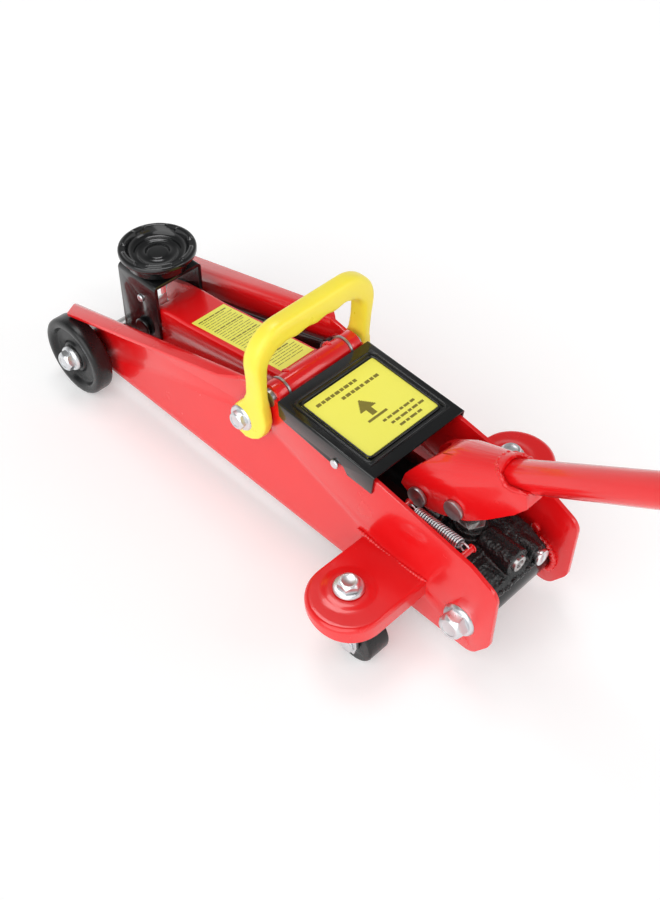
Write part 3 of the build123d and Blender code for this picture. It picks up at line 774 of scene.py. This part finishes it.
# ------------------------------------------------------------------ lifting gear
@dataclass
class LiftingGear:
    """Arm, bracket, saddle and tie rod."""

    saddle_x: float = -41.8
    saddle_top: float = 135.0
    seat_z: float = 118.4
    saddle_sides: int = 144
    lugs: int = 6
    lug_band: tuple[float, float] = (24.0, 27.6)
    lug_foot: float = 15.3
    lug_phase: float = 0.6
    lug_flank: tuple[float, float] = (0.35, 0.6)
    arm_welds: ArcWelds = ArcWelds("arm_weld", "lift_arm", centre=(-210.0, 118.0), y=20.3, reach=9.6,
                                   start=-150.0, sweep=230.0, length=38.0, radius=1.5, ripples=14)

    def build(self) -> int:
        """Builds the lifting pieces.

        Returns:
            The number of pieces made.
        """
        count = refine_nodes({
            "lift_arm": 0.8, "arm_lever_plates": 0.4, "lever_roller": 0.5, "lever_roller_pin": 0.3,
            "saddle_bracket": 0.45, "arm_pin": 0.3, "bracket_rivet": 0.3, "tie_rod": 0.5,
            "tie_rod_front_pin": 0.3, "saddle_clip": 0.2,
        })
        self._saddle()
        return count + 1 + self.arm_welds.build()

    def _saddle(self) -> None:
        """Cast cup: turned body whose rim rises in lugs, with a ring and a boss."""
        base = self.seat_z
        top = self.saddle_top - base
        profile = [
            (8.0, -16.0), (8.0, 0.0), (21.0, 0.0), (23.5, 0.8), (24.6, 2.4), (25.0, 6.0), (26.6, 8.6),
            (29.2, 10.2), (30.0, 11.6), (30.0, 13.8), (29.6, 14.9), (28.8, 15.3), (27.8, 15.4), (27.4, 16.0),
            (27.0, top), (25.2, top), (24.4, top - 0.8), (23.4, 12.4), (22.2, 10.4), (20.2, 9.3), (18.6, 9.0),
            (17.4, 9.6), (16.2, 9.7), (15.2, 9.1), (14.4, 8.7), (9.6, 8.7), (8.8, 9.4), (7.8, 9.9),
            (6.8, 10.0), (0.4, 10.0),
        ]
        piece = Bench.turned("saddle_finished", at(self.saddle_x, 0, base), Vector((0, 0, 1)), profile,
                             self.saddle_sides)
        centre = at(self.saddle_x, 0, 0)
        for vertex in piece.data.vertices:
            reach = math.hypot(vertex.co.x - centre.x, vertex.co.y) / MM
            height = vertex.co.z / MM - base
            if self.lug_band[0] < reach < self.lug_band[1] and height > self.lug_foot:
                angle = math.atan2(vertex.co.y, vertex.co.x - centre.x) * self.lugs + self.lug_phase
                drop = (height - self.lug_foot) * blend_between(*self.lug_flank, math.cos(angle))
                vertex.co.z -= drop * MM
        Bench.smooth(piece, 50)
        Bench.hang(piece, "saddle", Slot.BLACK, replaces=["saddle"])


# ------------------------------------------------------------------ stickers
@dataclass
class Stickers:
    """Generic stickers: greeked bars and a plain lifting arrow."""

    sheet_thick: float = 0.3
    ink_thick: float = 0.05
    heading_height: float = 2.6
    heading_gap: float = 0.9
    small_height: float = 2.0
    small_gap: float = 1.1
    small_pitch: float = 5.0
    small_slant: float = 3.0
    arrow_slices: int = 9
    arrow_tip: tuple[float, float] = (21.0, 3.0)
    arrow_step: tuple[float, float] = (1.2, 0.9)
    arm_rows: int = 30
    arm_row_pitch: float = 3.0
    arm_bar_height: float = 0.55
    arm_heading_height: float = 1.3
    arm_heading_every: int = 6
    arm_gap: float = 0.7
    arm_right_edge: float = -14.5

    def build(self) -> int:
        """Builds the sheets and their print.

        Returns:
            The number of pieces made.
        """
        for node in ("arm_label", "cover_label"):
            sheet = Bench.refined(node, 0.0)
            Bench.hang(sheet, body_of(node), Slot.LABEL, replaces=[node])
        self._cover_print()
        self._arm_print()
        return 4

    def _plane(self, node: str) -> Callable[[float, float], Vector]:
        """Maps millimetres from the sheet's front middle onto its sloping top.

        Args:
            node: Name of the sheet's CAD node.

        Returns:
            A function of the distance back and the distance left.
        """
        low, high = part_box(node)
        sheet = self.sheet_thick * MM
        rise = (high.z - low.z - sheet) / (high.x - low.x)
        front, rise = (high.z, -rise) if node == "cover_label" else (low.z + sheet, rise)

        def spot(back: float, left: float) -> Vector:
            """The point on the sheet."""
            return Vector((high.x - back * MM, left * MM, front + back * rise * MM + self.ink_thick * MM))
        return spot

    def _bars(self, name: str, node: str, body: str, bars: Sequence[Bar]) -> None:
        """One mesh of thin printed bars.

        Args:
            name: Name of the piece.
            node: The sheet the bars lie on.
            body: The body that carries the sheet.
            bars: Front and rear distance, left and right distance, for each bar.
        """
        spot = self._plane(node)
        made = []
        for bar in bars:
            def place(across: float, along: float, bar: Bar = bar) -> Vector:
                """A point of the bar."""
                front, rear, left, right = bar
                return spot(front + (rear - front) * along, left + (right - left) * across)
            made.append(Bench.skin(name, 2, 1, place))
        joined = Bench.join(made)
        joined.name = name
        Bench.apply(joined, "SOLIDIFY", thickness=self.ink_thick * MM, offset=0.0)
        Bench.hang(joined, body, Slot.LABEL, STICKER_INK)

    @staticmethod
    def _words(front: float, height: float, left: float, lengths: Iterable[float],
               gap: float) -> list[Bar]:
        """Bars of one line of greeked words, starting at the left.

        Args:
            front: Distance of the line from the sheet's front, in millimetres.
            height: Height of the bars.
            left: Where the line starts.
            lengths: Length of each bar.
            gap: Space between bars.

        Returns:
            The bars as front, rear, left and right distances.
        """
        bars, y = [], left
        for length in lengths:
            bars.append((front, front + height, y, y - length))
            y -= length + gap
        return bars

    def _cover_print(self) -> None:
        """Two headings, an arrow over a bar, and three small lines."""
        headings = ((6.0, 28.0, (4, 3, 4, 3, 4, 3, 4, 3, 3)), (12.5, 10.0, (3, 4, 3, 4, 3, 0.01, 4, 3, 4)))
        small_lines = ((3, 4, 6, 3, 5, 4), (3, 4, 6, 3, 5, 5), (5, 3, 6, 4))
        arrow_shaft, base_bar = (31.8, 38.0, 5.4, 0.6), (39.5, 41.5, 12.0, -6.0)
        small_front, small_left = 45.5, 4.0
        bars = []
        for front, left, lengths in headings:
            bars += self._words(front, self.heading_height, left, lengths, self.heading_gap)
        (tip, centre), (deep, wide) = self.arrow_tip, self.arrow_step
        for row in range(self.arrow_slices):
            bars.append((tip + row * deep, tip + deep + row * deep, centre + row * wide, centre - row * wide))
        bars += [arrow_shaft, base_bar]
        for row, lengths in enumerate(small_lines):
            bars += self._words(small_front + row * self.small_pitch, self.small_height,
                                small_left - row * self.small_slant, lengths, self.small_gap)
        self._bars("cover_print", "cover_label", "chassis", bars)

    def _arm_print(self) -> None:
        """Fine lines across the arm's sticker."""
        front, left_edge, ragged, shortest, longer, words = 4.5, 13.5, 1.5, 4, 3, 5
        bars = []
        for row in range(self.arm_rows):
            left = left_edge - ragged * abs(noise.noise(Vector((row * 0.7, 0, 0))))
            lengths = [shortest + longer * abs(noise.noise(Vector((row, word * 1.7, 0.5))))
                       for word in range(words)]
            height = self.arm_bar_height if row % self.arm_heading_every else self.arm_heading_height
            bars += self._words(front + row * self.arm_row_pitch, height, left, lengths, self.arm_gap)
        bars = [bar for bar in bars if bar[3] > self.arm_right_edge]
        self._bars("arm_print", "arm_label", "lift_arm", bars)


# ------------------------------------------------------------------ carry handle
# Run up the leg from the bolt, middle in x, half width, half thickness and outward shift, in millimetres.
CARRY_HANDLE_STATIONS = (
    (-16.5, -196.5, 1.0, 4.4, -1.3), (-15.0, -196.5, 7.5, 4.8, -1.3), (-11.0, -197.0, 12.8, 5.0, -1.3),
    (-6.0, -198.0, 15.6, 5.0, -1.3), (0.0, -199.5, 16.6, 5.0, -1.3), (7.0, -201.5, 16.0, 5.0, -1.3),
    (14.0, -204.0, 12.6, 5.0, -1.2), (20.0, -205.8, 9.6, 5.0, -1.0), (28.0, -206.8, 8.2, 4.8, -0.6),
    (40.0, -207.4, 7.7, 4.8, 0.0), (54.0, -207.8, 7.6, 6.0, 0.6), (68.0, -208.0, 7.6, 8.6, 0.4),
    (84.0, -208.0, 7.6, 9.8, 0.0), (130.0, -208.0, 7.6, 9.8, 0.0),
)


@dataclass
class CarryHandle:
    """Moulded plastic carry handle with finger hollows under the bar."""

    bolt_z: float = 96.0
    foot: float = 16.5
    bar_centre: float = 171.0
    corner: float = 20.0
    half_span: float = 50.5
    around: int = 32
    steps: int = 150
    finger_depth: float = 2.2
    finger_pitch: float = 18.0
    finger_start: float = 36.0
    finger_margin: float = 8.0
    boss_top: float = 24.0
    boss_squareness: float = 0.42
    bar_squareness: float = 0.62

    def build(self) -> int:
        """Builds the handle.

        Returns:
            The number of pieces made.
        """
        piece = Bench.skin("carry_handle_finished", self.around, self.steps, self._surface, close=True)
        Bench.smooth(piece, 60)
        Bench.hang(piece, "chassis", Slot.YELLOW, replaces=["carry_handle"])
        return 1

    def _surface(self, across: float, along: float) -> Vector:
        """A point of the handle's skin.

        Args:
            across: Share round the section.
            along: Share from the left boss to the right boss.

        Returns:
            The point, in metres.
        """
        leg = self.bar_centre - self.bolt_z - self.corner
        arc = self.corner * math.pi / 2
        bar = 2 * (self.half_span - self.corner)
        total = 2 * (leg + arc) + bar
        travel = along * (total + 2 * self.foot) - self.foot
        side = 1 if travel < total / 2 else -1
        run = min(travel, total - travel)
        if run < leg:
            y, z = self.half_span, self.bolt_z + run
            outward = Vector((0, 1, 0))
        elif run < leg + arc:
            angle = (run - leg) / self.corner
            y = self.half_span - self.corner + self.corner * math.cos(angle)
            z = self.bar_centre - self.corner + self.corner * math.sin(angle)
            outward = Vector((0, math.cos(angle), math.sin(angle)))
        else:
            y, z = self.half_span - self.corner - (run - leg - arc), self.bar_centre
            outward = Vector((0, 0, 1))
        outward.y *= side
        y *= side
        x, wide, thick, shift = along_table(CARRY_HANDLE_STATIONS, run)
        finger = 0.0
        if run > leg + arc - self.finger_margin:
            wave = math.cos((y + self.finger_start) / self.finger_pitch * math.tau)
            finger = self.finger_depth * (0.5 - 0.5 * wave)
        angle = across * math.tau
        power = self.bar_squareness if run > self.boss_top else self.boss_squareness
        cosine, sine = math.cos(angle), math.sin(angle)
        local_x = math.copysign(abs(cosine) ** power, cosine) * wide
        local_out = math.copysign(abs(sine) ** power, sine) * thick + shift
        if sine < 0:
            local_out += finger * abs(sine)
        centre = at(x, y, z)
        return centre + Vector((local_x, 0, 0)) * MM + outward * local_out * MM


# ------------------------------------------------------------------ cover
@dataclass
class CoverSet:
    """Pressed cover over the ram, with the two beads round its sticker and its screws."""

    half_x: float = 36.2
    half_y: float = 38.2
    corner: float = 5.5
    inset: float = 3.4
    bead_radius: float = 0.75
    bead_lift: float = 0.85
    bead_sides: int = 10
    bead_rows: int = 240
    look_ahead: float = 0.0005
    sheet_thick: float = 0.3

    def build(self) -> int:
        """Builds the cover pieces.

        Returns:
            The number of pieces made.
        """
        self._bead("cover_bead_outer", 0.0)
        self._bead("cover_bead_inner", self.inset)
        return 2 + refine_nodes({"cover_plate": 0.35, "cover_screws": 0.3})

    def _loop(self, share: float, inset: float) -> tuple[float, float]:
        """A point of the rounded rectangle of the frame.

        Args:
            share: Share of the way round.
            inset: Distance in from the outer bead, in millimetres.

        Returns:
            The point's x and y from the frame's middle, in millimetres.
        """
        corner = self.corner - inset / 2
        sizes = (self.half_x - inset, self.half_y - inset)
        arc = corner * math.pi / 2
        run = share * (4 * (sizes[0] + sizes[1] - 2 * corner) + 4 * arc)
        turn, (wide, high) = 0, sizes
        while turn < 3 and run > 2 * (high - corner) + arc:
            run -= 2 * (high - corner) + arc
            wide, high = high, wide
            turn += 1
        straight = 2 * (high - corner)
        bend = max(0.0, run - straight) / corner
        u = wide - corner + corner * math.cos(bend)
        v = min(run, straight) - high + corner + corner * math.sin(bend)
        return ((u, v), (-v, u), (-u, -v), (v, -u))[turn]

    def _bead(self, name: str, inset: float) -> None:
        """One pressed bead round the sticker.

        Args:
            name: Name of the piece.
            inset: Distance in from the outer bead, in millimetres.
        """
        low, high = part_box("cover_label")
        rise = (high.z - low.z - self.sheet_thick * MM) / (high.x - low.x)
        middle_x = (low.x + high.x) / 2

        def place(across: float, along: float) -> Vector:
            """A point of the bead.

            Args:
                across: Share round the bead.
                along: Share of the way round the sticker.

            Returns:
                The point, in metres.
            """
            x, y = self._loop(along % 1.0, inset)
            next_x, next_y = self._loop((along + self.look_ahead) % 1.0, inset)
            outward = Vector((next_y - y, x - next_x, 0)).normalized()
            angle = across * math.tau
            offset = outward * math.cos(angle) + Vector((0, 0, math.sin(angle)))
            spot = Vector((x, y, self.bead_lift)) + offset * self.bead_radius
            ahead = middle_x + spot.x * MM
            top = high.z - self.sheet_thick * MM - (high.x - ahead) * rise
            return Vector((ahead, spot.y * MM, top + spot.z * MM))

        piece = Bench.skin(name, self.bead_sides, self.bead_rows, place)
        Bench.smooth(piece, 60)
        Bench.hang(piece, "chassis", Slot.BLACK)


# ------------------------------------------------------------------ casters
@dataclass
class Casters:
    """Pressed wings, swivel forks and small wheels."""

    stem: tuple[float, float] = (-329.0, 84.0)
    top: float = 55.0
    plate_face: float = 43.0
    half_width: float = 29.0
    middle_x: float = -332.0
    end_y: float = 87.5
    roll: float = 3.2
    flat_share: float = 0.72
    sheet: float = 2.4
    edge: float = 0.4
    edge_angle: float = 50.0
    skin_lift: float = 1.0
    root_share: float = 0.02
    rim_depths: tuple[float, float] = (5.0, 9.0)
    rim_slope: tuple[float, float] = (-302.0, -362.0)
    pad_height: float = 1.2
    pad_edge: tuple[float, float] = (13.5, 19.5)
    seam_start: tuple[float, float] = (-298.0, 56.0)
    seam_span: float = 64.0
    seam_sag: float = 3.5
    seam_lift: float = 0.6
    seam_length: float = 66.0
    seam_radius: float = 1.6
    seam_ripples: int = 26

    def build(self) -> int:
        """Builds both casters.

        Returns:
            The number of pieces made.
        """
        for side, label in SIDES:
            self._wing(side, label)
            self._seam(side, label)
        return 4 + refine_nodes({
            "caster_stem_bolts": 0.3, "caster_races": 0.3, "caster_fork_left": 0.3,
            "caster_fork_right": 0.3, "caster_axle_left": 0.3, "caster_axle_right": 0.3,
            "caster_wheel_left": 0.3, "caster_wheel_right": 0.3,
        })

    def _outline(self, share: float) -> tuple[float, float]:
        """Plan of the wing's edge, from the front root round to the rear root.

        Args:
            share: Share of the outline's length.

        Returns:
            The point's x and y in millimetres.
        """
        straight = self.end_y - self.plate_face
        arc = math.pi * self.half_width
        run = share * (2 * straight + arc)
        if run < straight:
            return self.middle_x + self.half_width, self.plate_face + run
        if run < straight + arc:
            angle = (run - straight) / self.half_width
            ahead, out = self.half_width * math.cos(angle), self.half_width * math.sin(angle)
            return self.middle_x + ahead, self.end_y + out
        return self.middle_x - self.half_width, self.end_y - (run - straight - arc)

    def _rim_depth(self, x: float) -> float:
        """How far the rim hangs down.

        Args:
            x: Distance ahead of the front axle, in millimetres.

        Returns:
            The depth in millimetres.
        """
        least, more = self.rim_depths
        return least + more * blend_between(*self.rim_slope, x)

    def _wing_point(self, across: float, along: float) -> Vector:
        """A point of the left wing's upper skin.

        Args:
            across: Share along the outline, from the front root to the rear root.
            along: Share from the plate out to the edge and down the rim.

        Returns:
            The point, in millimetres from the front axle.
        """
        edge = Vector(self._outline(across))
        top = self.top - self.skin_lift
        if along > self.flat_share:
            down = (along - self.flat_share) / (1 - self.flat_share)
            return Vector((edge.x, edge.y, top - self.roll - down * (self._rim_depth(edge.x) - self.roll)))
        inner = Vector((self.middle_x + (edge.x - self.middle_x) * self.root_share, self.plate_face))
        spot = inner.lerp(edge, along / self.flat_share)
        short = max(0.0, self.roll - (spot - edge).length)
        fall = self.roll - math.sqrt(self.roll * self.roll - short * short)
        from_stem = (spot - Vector(self.stem)).length
        pad = self.pad_height - self.pad_height * blend_between(*self.pad_edge, from_stem)
        return Vector((spot.x, spot.y, top - fall + pad))

    def _wing(self, side: int, label: str) -> None:
        """Top sheet with a pressed pad and a rim rolled down round the edge.

        Args:
            side: 1 for the left, -1 for the right.
            label: Ending of the CAD node's name.
        """
        def place(across: float, along: float) -> Vector:
            """Puts a point of the skin on its own side."""
            spot = self._wing_point(across, along)
            return at(spot.x, side * spot.y, spot.z)

        piece = Bench.skin(f"caster_wing_{label}_finished", 120, 60, place)
        Bench.apply(piece, "SOLIDIFY", thickness=self.sheet * MM, offset=-1.0)
        Bench.round_edges(piece, self.edge, self.edge_angle)
        Bench.smooth(piece, 45)
        Bench.hang(piece, "chassis", Slot.RED, replaces=[f"caster_wing_{label}"])

    def _seam(self, side: int, label: str) -> None:
        """Weld along the wing's root on the plate.

        Args:
            side: 1 for the left, -1 for the right.
            label: Ending of the piece's name.
        """
        def route(share: float) -> Vector:
            """A point from the wing's front to its rear.

            Args:
                share: Share of the way back.

            Returns:
                The point, in metres.
            """
            x, z = self.seam_start
            fall = self.seam_sag * math.sin(share * math.pi * 0.9)
            return at(x - self.seam_span * share, side * (self.plate_face + self.seam_lift), z - fall)
        piece = bead(f"wing_weld_{label}", route, self.seam_length, self.seam_radius, self.seam_ripples)
        Bench.hang(piece, "chassis", Slot.RED)


# ------------------------------------------------------------------ hydraulic unit
@dataclass
class HydraulicUnit:
    """Cast block, tank, ram and the return springs."""

    spring_y: float = 28.5
    spring_z: float = 91.5
    spring_front: float = -335.0
    spring_rear: float = -374.0
    coil_radius: float = 3.85
    coil_neck: float = 0.55
    coil_ease: float = 0.03
    wire: float = 0.8
    wire_sides: int = 8
    turns: int = 20
    rows_per_turn: int = 18
    loop_radius: float = 3.6
    loop_rows: int = 40
    loop_insets: tuple[float, float] = (3.0, 3.2)
    ridge_middle: tuple[float, float] = (-403.2, 59.5)
    ridge_half: float = 29.0
    ridge_wave_x: tuple[float, float] = (0.7, 0.9)
    ridge_wave_z: tuple[float, float] = (0.8, 0.37)
    ridge_length: float = 90.0
    ridge_radius: float = 1.9
    ridge_ripples: int = 31
    block_edge: float = 1.2
    voxel: float = 0.9
    coarse_lumps: tuple[float, float] = (0.35, 0.22)
    fine_lumps: tuple[float, float] = (0.22, 0.8)
    lump_base: float = 0.12

    def build(self) -> int:
        """Builds the hydraulic pieces.

        Returns:
            The number of pieces made.
        """
        count = refine_nodes({
            "pump_gland": 0.35, "pump_plunger": 0.3, "oil_tank": 0.4, "tank_cap": 0.5,
            "ram_cylinder": 0.3, "ram_gland": 0.3, "ram_rod": 0.3, "ram_piston": 0.3, "ram_head": 0.3,
            "fulcrum_bracket": 0.4, "release_valve": 0.3, "oil_plug": 0.3,
        })
        self._block()
        self._ridge()
        self._springs()
        return count + 3

    def _ridge(self) -> None:
        """Rough flash line of the casting along its rear edge."""
        def route(share: float) -> Vector:
            """A point of the wavy line from the left to the right.

            Args:
                share: Share of the way over.

            Returns:
                The point, in metres.
            """
            y = self.ridge_half - 2 * self.ridge_half * share
            (x, z), (deep, often), (high, seldom) = self.ridge_middle, self.ridge_wave_x, self.ridge_wave_z
            return at(x + deep * math.sin(y * often), y, z + high * math.sin(y * seldom))
        piece = bead("casting_ridge", route, self.ridge_length, self.ridge_radius, self.ridge_ripples)
        Bench.hang(piece, "chassis", Slot.CAST)

    def _block(self) -> None:
        """Rough casting: the block remeshed, softened and made lumpy."""
        piece = Bench.refined("pump_block", self.block_edge)
        Bench.apply(piece, "REMESH", mode="VOXEL", voxel_size=self.voxel * MM, use_smooth_shade=True)
        Bench.apply(piece, "SMOOTH", factor=0.5, iterations=3)
        (coarse, coarse_pitch), (fine, fine_pitch) = self.coarse_lumps, self.fine_lumps
        normals = [vertex.normal.copy() for vertex in piece.data.vertices]
        for vertex, normal in zip(piece.data.vertices, normals):
            spot = vertex.co / MM
            lump = coarse * noise.noise(spot * coarse_pitch) + fine * noise.noise(spot * fine_pitch)
            vertex.co += normal * (lump - self.lump_base) * MM
        Bench.smooth(piece, 80)
        Bench.hang(piece, "chassis", Slot.CAST, replaces=["pump_block"])

    def _springs(self) -> None:
        """Two coil springs joined in one piece, each with hooked ends."""
        name = "return_springs_finished"
        ends = (self.spring_front + self.loop_insets[0], self.spring_rear - self.loop_insets[1])
        made = []
        for side, _ in SIDES:
            made.append(Bench.skin(name, self.wire_sides, self.turns * self.rows_per_turn,
                                   partial(self._coil_point, side), close=True))
            for x in ends:
                made.append(Bench.skin(name, self.wire_sides, self.loop_rows,
                                       partial(self._loop_point, side, x)))
        joined = Bench.join(made)
        Bench.smooth(joined, 70)
        Bench.hang(joined, "chassis", Slot.ZINC, replaces=["return_springs"])

    def _coil_point(self, side: int, across: float, along: float) -> Vector:
        """A point of the coiled wire, whose radius draws in at both ends.

        Args:
            side: 1 for the left spring, -1 for the right.
            across: Share round the wire.
            along: Share of the spring's length.

        Returns:
            The point, in metres.
        """
        angle, turn = along * self.turns * math.tau, across * math.tau
        ease = blend_between(0, self.coil_ease, along) * blend_between(0, self.coil_ease, 1 - along)
        radius = self.coil_radius * (self.coil_neck + (1 - self.coil_neck) * ease)
        x = self.spring_front + (self.spring_rear - self.spring_front) * along
        centre = Vector((x, self.spring_y * side + radius * math.cos(angle),
                         self.spring_z + radius * math.sin(angle)))
        radial = Vector((0, math.cos(angle), math.sin(angle)))
        offset = radial * math.cos(turn) + Vector((1, 0, 0)) * math.sin(turn)
        return at(*(centre + offset * self.wire))

    def _loop_point(self, side: int, x: float, across: float, along: float) -> Vector:
        """A point of the loop at a spring's end.

        Args:
            side: 1 for the left spring, -1 for the right.
            x: Middle of the loop, in millimetres ahead of the front axle.
            across: Share round the wire.
            along: Share of the loop.

        Returns:
            The point, in metres.
        """
        angle, turn = along * math.tau, across * math.tau
        reach = self.loop_radius + self.wire * math.cos(turn)
        return at(x + reach * math.cos(angle), side * self.spring_y + self.wire * math.sin(turn),
                  self.spring_z + reach * math.sin(angle))


# ------------------------------------------------------------------ pump handle
@dataclass
class PumpHandle:
    """Pressed yoke, its pins, the handle tube and the grip."""

    root: tuple[float, float] = (-400.0, 154.4)
    angle: float = 33.2
    tube: float = 10.8
    weld_back: float = 19.5
    weld_shoulder: tuple[float, float, float] = (9.0, 20.0, 90.0)
    weld_lip: tuple[float, float] = (15.0, 84.0)
    weld_gap: float = 2.6
    weld_reach: float = 112.0
    weld_length: float = 84.0
    weld_radius: float = 1.7
    weld_ripples: int = 13
    grip_start: float = 374.0
    grip_end: float = 474.0
    grip_radius: float = 13.6
    grip_pitch: float = 5.0
    groove: float = 0.8
    grip_sides: int = 64

    def build(self) -> int:
        """Builds the handle pieces.

        Returns:
            The number of pieces made.
        """
        count = refine_nodes({"yoke": 1.3, "handle_tube": 0.3})
        count += refine_nodes({"fulcrum_pin": 0.6, "pump_pin": 0.6}, DULL_ZINC)
        self._mouth_weld()
        self._grip()
        return count + 2

    def along(self, run: float) -> tuple[float, float]:
        """A point of the handle's axis.

        Args:
            run: Distance out of the yoke, in millimetres.

        Returns:
            The point's x and z in millimetres.
        """
        turn = math.radians(self.angle)
        return self.root[0] - run * math.cos(turn), self.root[1] + run * math.sin(turn)

    def _mouth_weld(self) -> None:
        """Rough crimped edge where the yoke closes over the tube and runs on below it."""
        turn = math.radians(self.angle)

        def route(share: float) -> Vector:
            """A point from the left lip over the top to the right lip.

            Args:
                share: Share of the way over.

            Returns:
                The point, in metres.
            """
            around = math.radians(-self.weld_reach + 2 * self.weld_reach * share)
            bend = abs(math.degrees(around))
            (shoulder, *shoulder_span), (lip, lip_start) = self.weld_shoulder, self.weld_lip
            run = -self.weld_back + shoulder * blend_between(*shoulder_span, bend)
            run += lip * blend_between(lip_start, self.weld_reach, bend)
            x, z = self.along(run)
            radius = self.tube + self.weld_gap
            up = radius * math.cos(around)
            return at(x + up * math.sin(turn), radius * math.sin(around), z + up * math.cos(turn))
        piece = bead("yoke_mouth_weld", route, self.weld_length, self.weld_radius, self.weld_ripples)
        Bench.hang(piece, "pump_yoke", Slot.RED)

    def _grip(self) -> None:
        """Ribbed rubber grip at the handle's end."""
        axis = Vector((-math.cos(math.radians(self.angle)), 0, math.sin(math.radians(self.angle))))
        start, end, radius, low = self.grip_start, self.grip_end, self.grip_radius, self.groove
        x, z = self.root
        profile = [(self.tube, start), (12.0, start), (radius, start + 1.6)]
        station = start + self.grip_pitch
        while station < end - 2 * self.grip_pitch:
            profile += [(radius, station), (radius - low, station + 0.8), (radius - low, station + 2.2),
                        (radius, station + 3.0)]
            station += self.grip_pitch
        profile += [(radius, end - 3), (radius - low, end - 1), (radius - 3 * low, end), (0.5, end),
                    (0.5, end - 4), (self.tube, end - 4), (self.tube, start)]
        piece = Bench.turned("handle_grip_finished", at(x, 0, z), axis, profile, self.grip_sides)
        Bench.smooth(piece, 40)
        Bench.hang(piece, "handle", Slot.RUBBER, replaces=["handle_grip"])


# ------------------------------------------------------------------ studio
@dataclass
class Studio:
    """Pale floor, soft light and the camera."""

    looks_at: Point = (-235.5, 7.6, 60.0)
    azimuth: float = 45.73
    elevation: float = 46.63
    roll: float = 0.84
    distance: float = 881.5
    lens: float = 48.81
    sensor: float = 36.0
    nearest: float = 0.01
    floor_size: float = 30.0
    floor_grey: float = 0.80
    floor_glow: float = 0.27
    horizon: tuple[float, float] = (0.05, 0.75)
    sky: tuple[float, float] = (1.0, 0.22)

    def build(self) -> int:
        """Sets up the studio.

        Returns:
            The number of lights made.
        """
        self._floor()
        self._camera()
        self._world()
        return self._lights()

    def _floor(self) -> None:
        """A wide plain floor."""
        Bench.clear()
        bpy.ops.mesh.primitive_plane_add(size=self.floor_size, location=(0, 0, 0))
        floor = bpy.context.active_object
        floor.name = "studio_floor"
        material = bpy.data.materials.new("studio_floor")
        material.use_nodes = True
        shader = material.node_tree.nodes["Principled BSDF"]
        shader.inputs["Base Color"].default_value = (self.floor_grey, self.floor_grey, self.floor_grey, 1)
        shader.inputs["Roughness"].default_value = 0.8
        shader.inputs["Emission Color"].default_value = (1, 1, 1, 1)
        shader.inputs["Emission Strength"].default_value = self.floor_glow
        floor.data.materials.append(material)

    def _camera(self) -> None:
        """Camera over the jack's left rear, looking down and forwards."""
        turn, tilt, roll = (math.radians(a) for a in (self.azimuth, self.elevation, self.roll))
        back = Vector((-math.cos(turn) * math.cos(tilt), math.sin(turn) * math.cos(tilt), math.sin(tilt)))
        right = (-back).cross(Vector((0, 0, 1))).normalized()
        up = right.cross(-back)
        rolled_right = right * math.cos(roll) + up * math.sin(roll)
        rolled_up = up * math.cos(roll) - right * math.sin(roll)
        spot = at(*self.looks_at) + back * self.distance * MM
        bpy.ops.object.camera_add()
        camera = bpy.context.active_object
        camera.matrix_world = Matrix((
            (rolled_right.x, rolled_up.x, back.x, spot.x), (rolled_right.y, rolled_up.y, back.y, spot.y),
            (rolled_right.z, rolled_up.z, back.z, spot.z), (0, 0, 0, 1)))
        camera.data.lens = self.lens
        camera.data.sensor_width = self.sensor
        camera.data.clip_start = self.nearest
        bpy.context.scene.camera = camera

    def _world(self) -> None:
        """White surroundings, bright at the horizon and dimmer overhead."""
        world = bpy.data.worlds.new("studio_world")
        bpy.context.scene.world = world
        world.use_nodes = True
        nodes, links = world.node_tree.nodes, world.node_tree.links
        height = nodes.new("ShaderNodeSeparateXYZ")
        links.new(nodes.new("ShaderNodeTexCoord").outputs["Generated"], height.inputs["Vector"])
        fade = nodes.new("ShaderNodeMapRange")
        fade.interpolation_type = "SMOOTHSTEP"
        for end, height_at, strength in zip(("Min", "Max"), self.horizon, self.sky):
            fade.inputs[f"From {end}"].default_value = height_at
            fade.inputs[f"To {end}"].default_value = strength
        links.new(height.outputs["Z"], fade.inputs["Value"])
        links.new(fade.outputs["Result"], nodes["Background"].inputs["Strength"])
        nodes["Background"].inputs["Color"].default_value = (1, 1, 1, 1)
        bpy.context.scene.view_settings.view_transform = "Standard"

    def _lights(self) -> int:
        """A broad even light from the left and two soft boxes for highlights.

        Returns:
            The number of lights.
        """
        middle = at(-200, 0, 60)
        lights = (
            ("SUN", "broad_light", (-0.5, 1.4, 1.1), math.radians(70), 1.9),
            ("AREA", "top_box", (0.5, -0.2, 1.7), 0.7, 7.0),
            ("AREA", "rear_box", (-1.4, -0.7, 1.0), 0.8, 5.0),
        )
        for kind, name, offset, size, power in lights:
            spot = middle + Vector(offset)
            bpy.ops.object.light_add(type=kind, location=spot)
            lamp = bpy.context.active_object
            lamp.name = name
            lamp.rotation_mode = "QUATERNION"
            lamp.rotation_quaternion = (middle - spot).to_track_quat("-Z", "Y")
            lamp.data.energy = power
            if kind == "SUN":
                lamp.data.angle = size
            else:
                lamp.data.size = size
        return len(lights)


def main() -> None:
    """Builds every sub-assembly in order."""
    logging.basicConfig(level=logging.INFO, format="%(name)s: %(message)s")
    assemblies = (
        Chassis(), FrontWheels(), LiftingGear(), Stickers(), CarryHandle(), CoverSet(), Casters(),
        HydraulicUnit(), PumpHandle(), Studio(),
    )
    for assembly in assemblies:
        LOG.info("%s: %d", type(assembly).__name__, assembly.build())


if __name__ == "__main__":
    main()
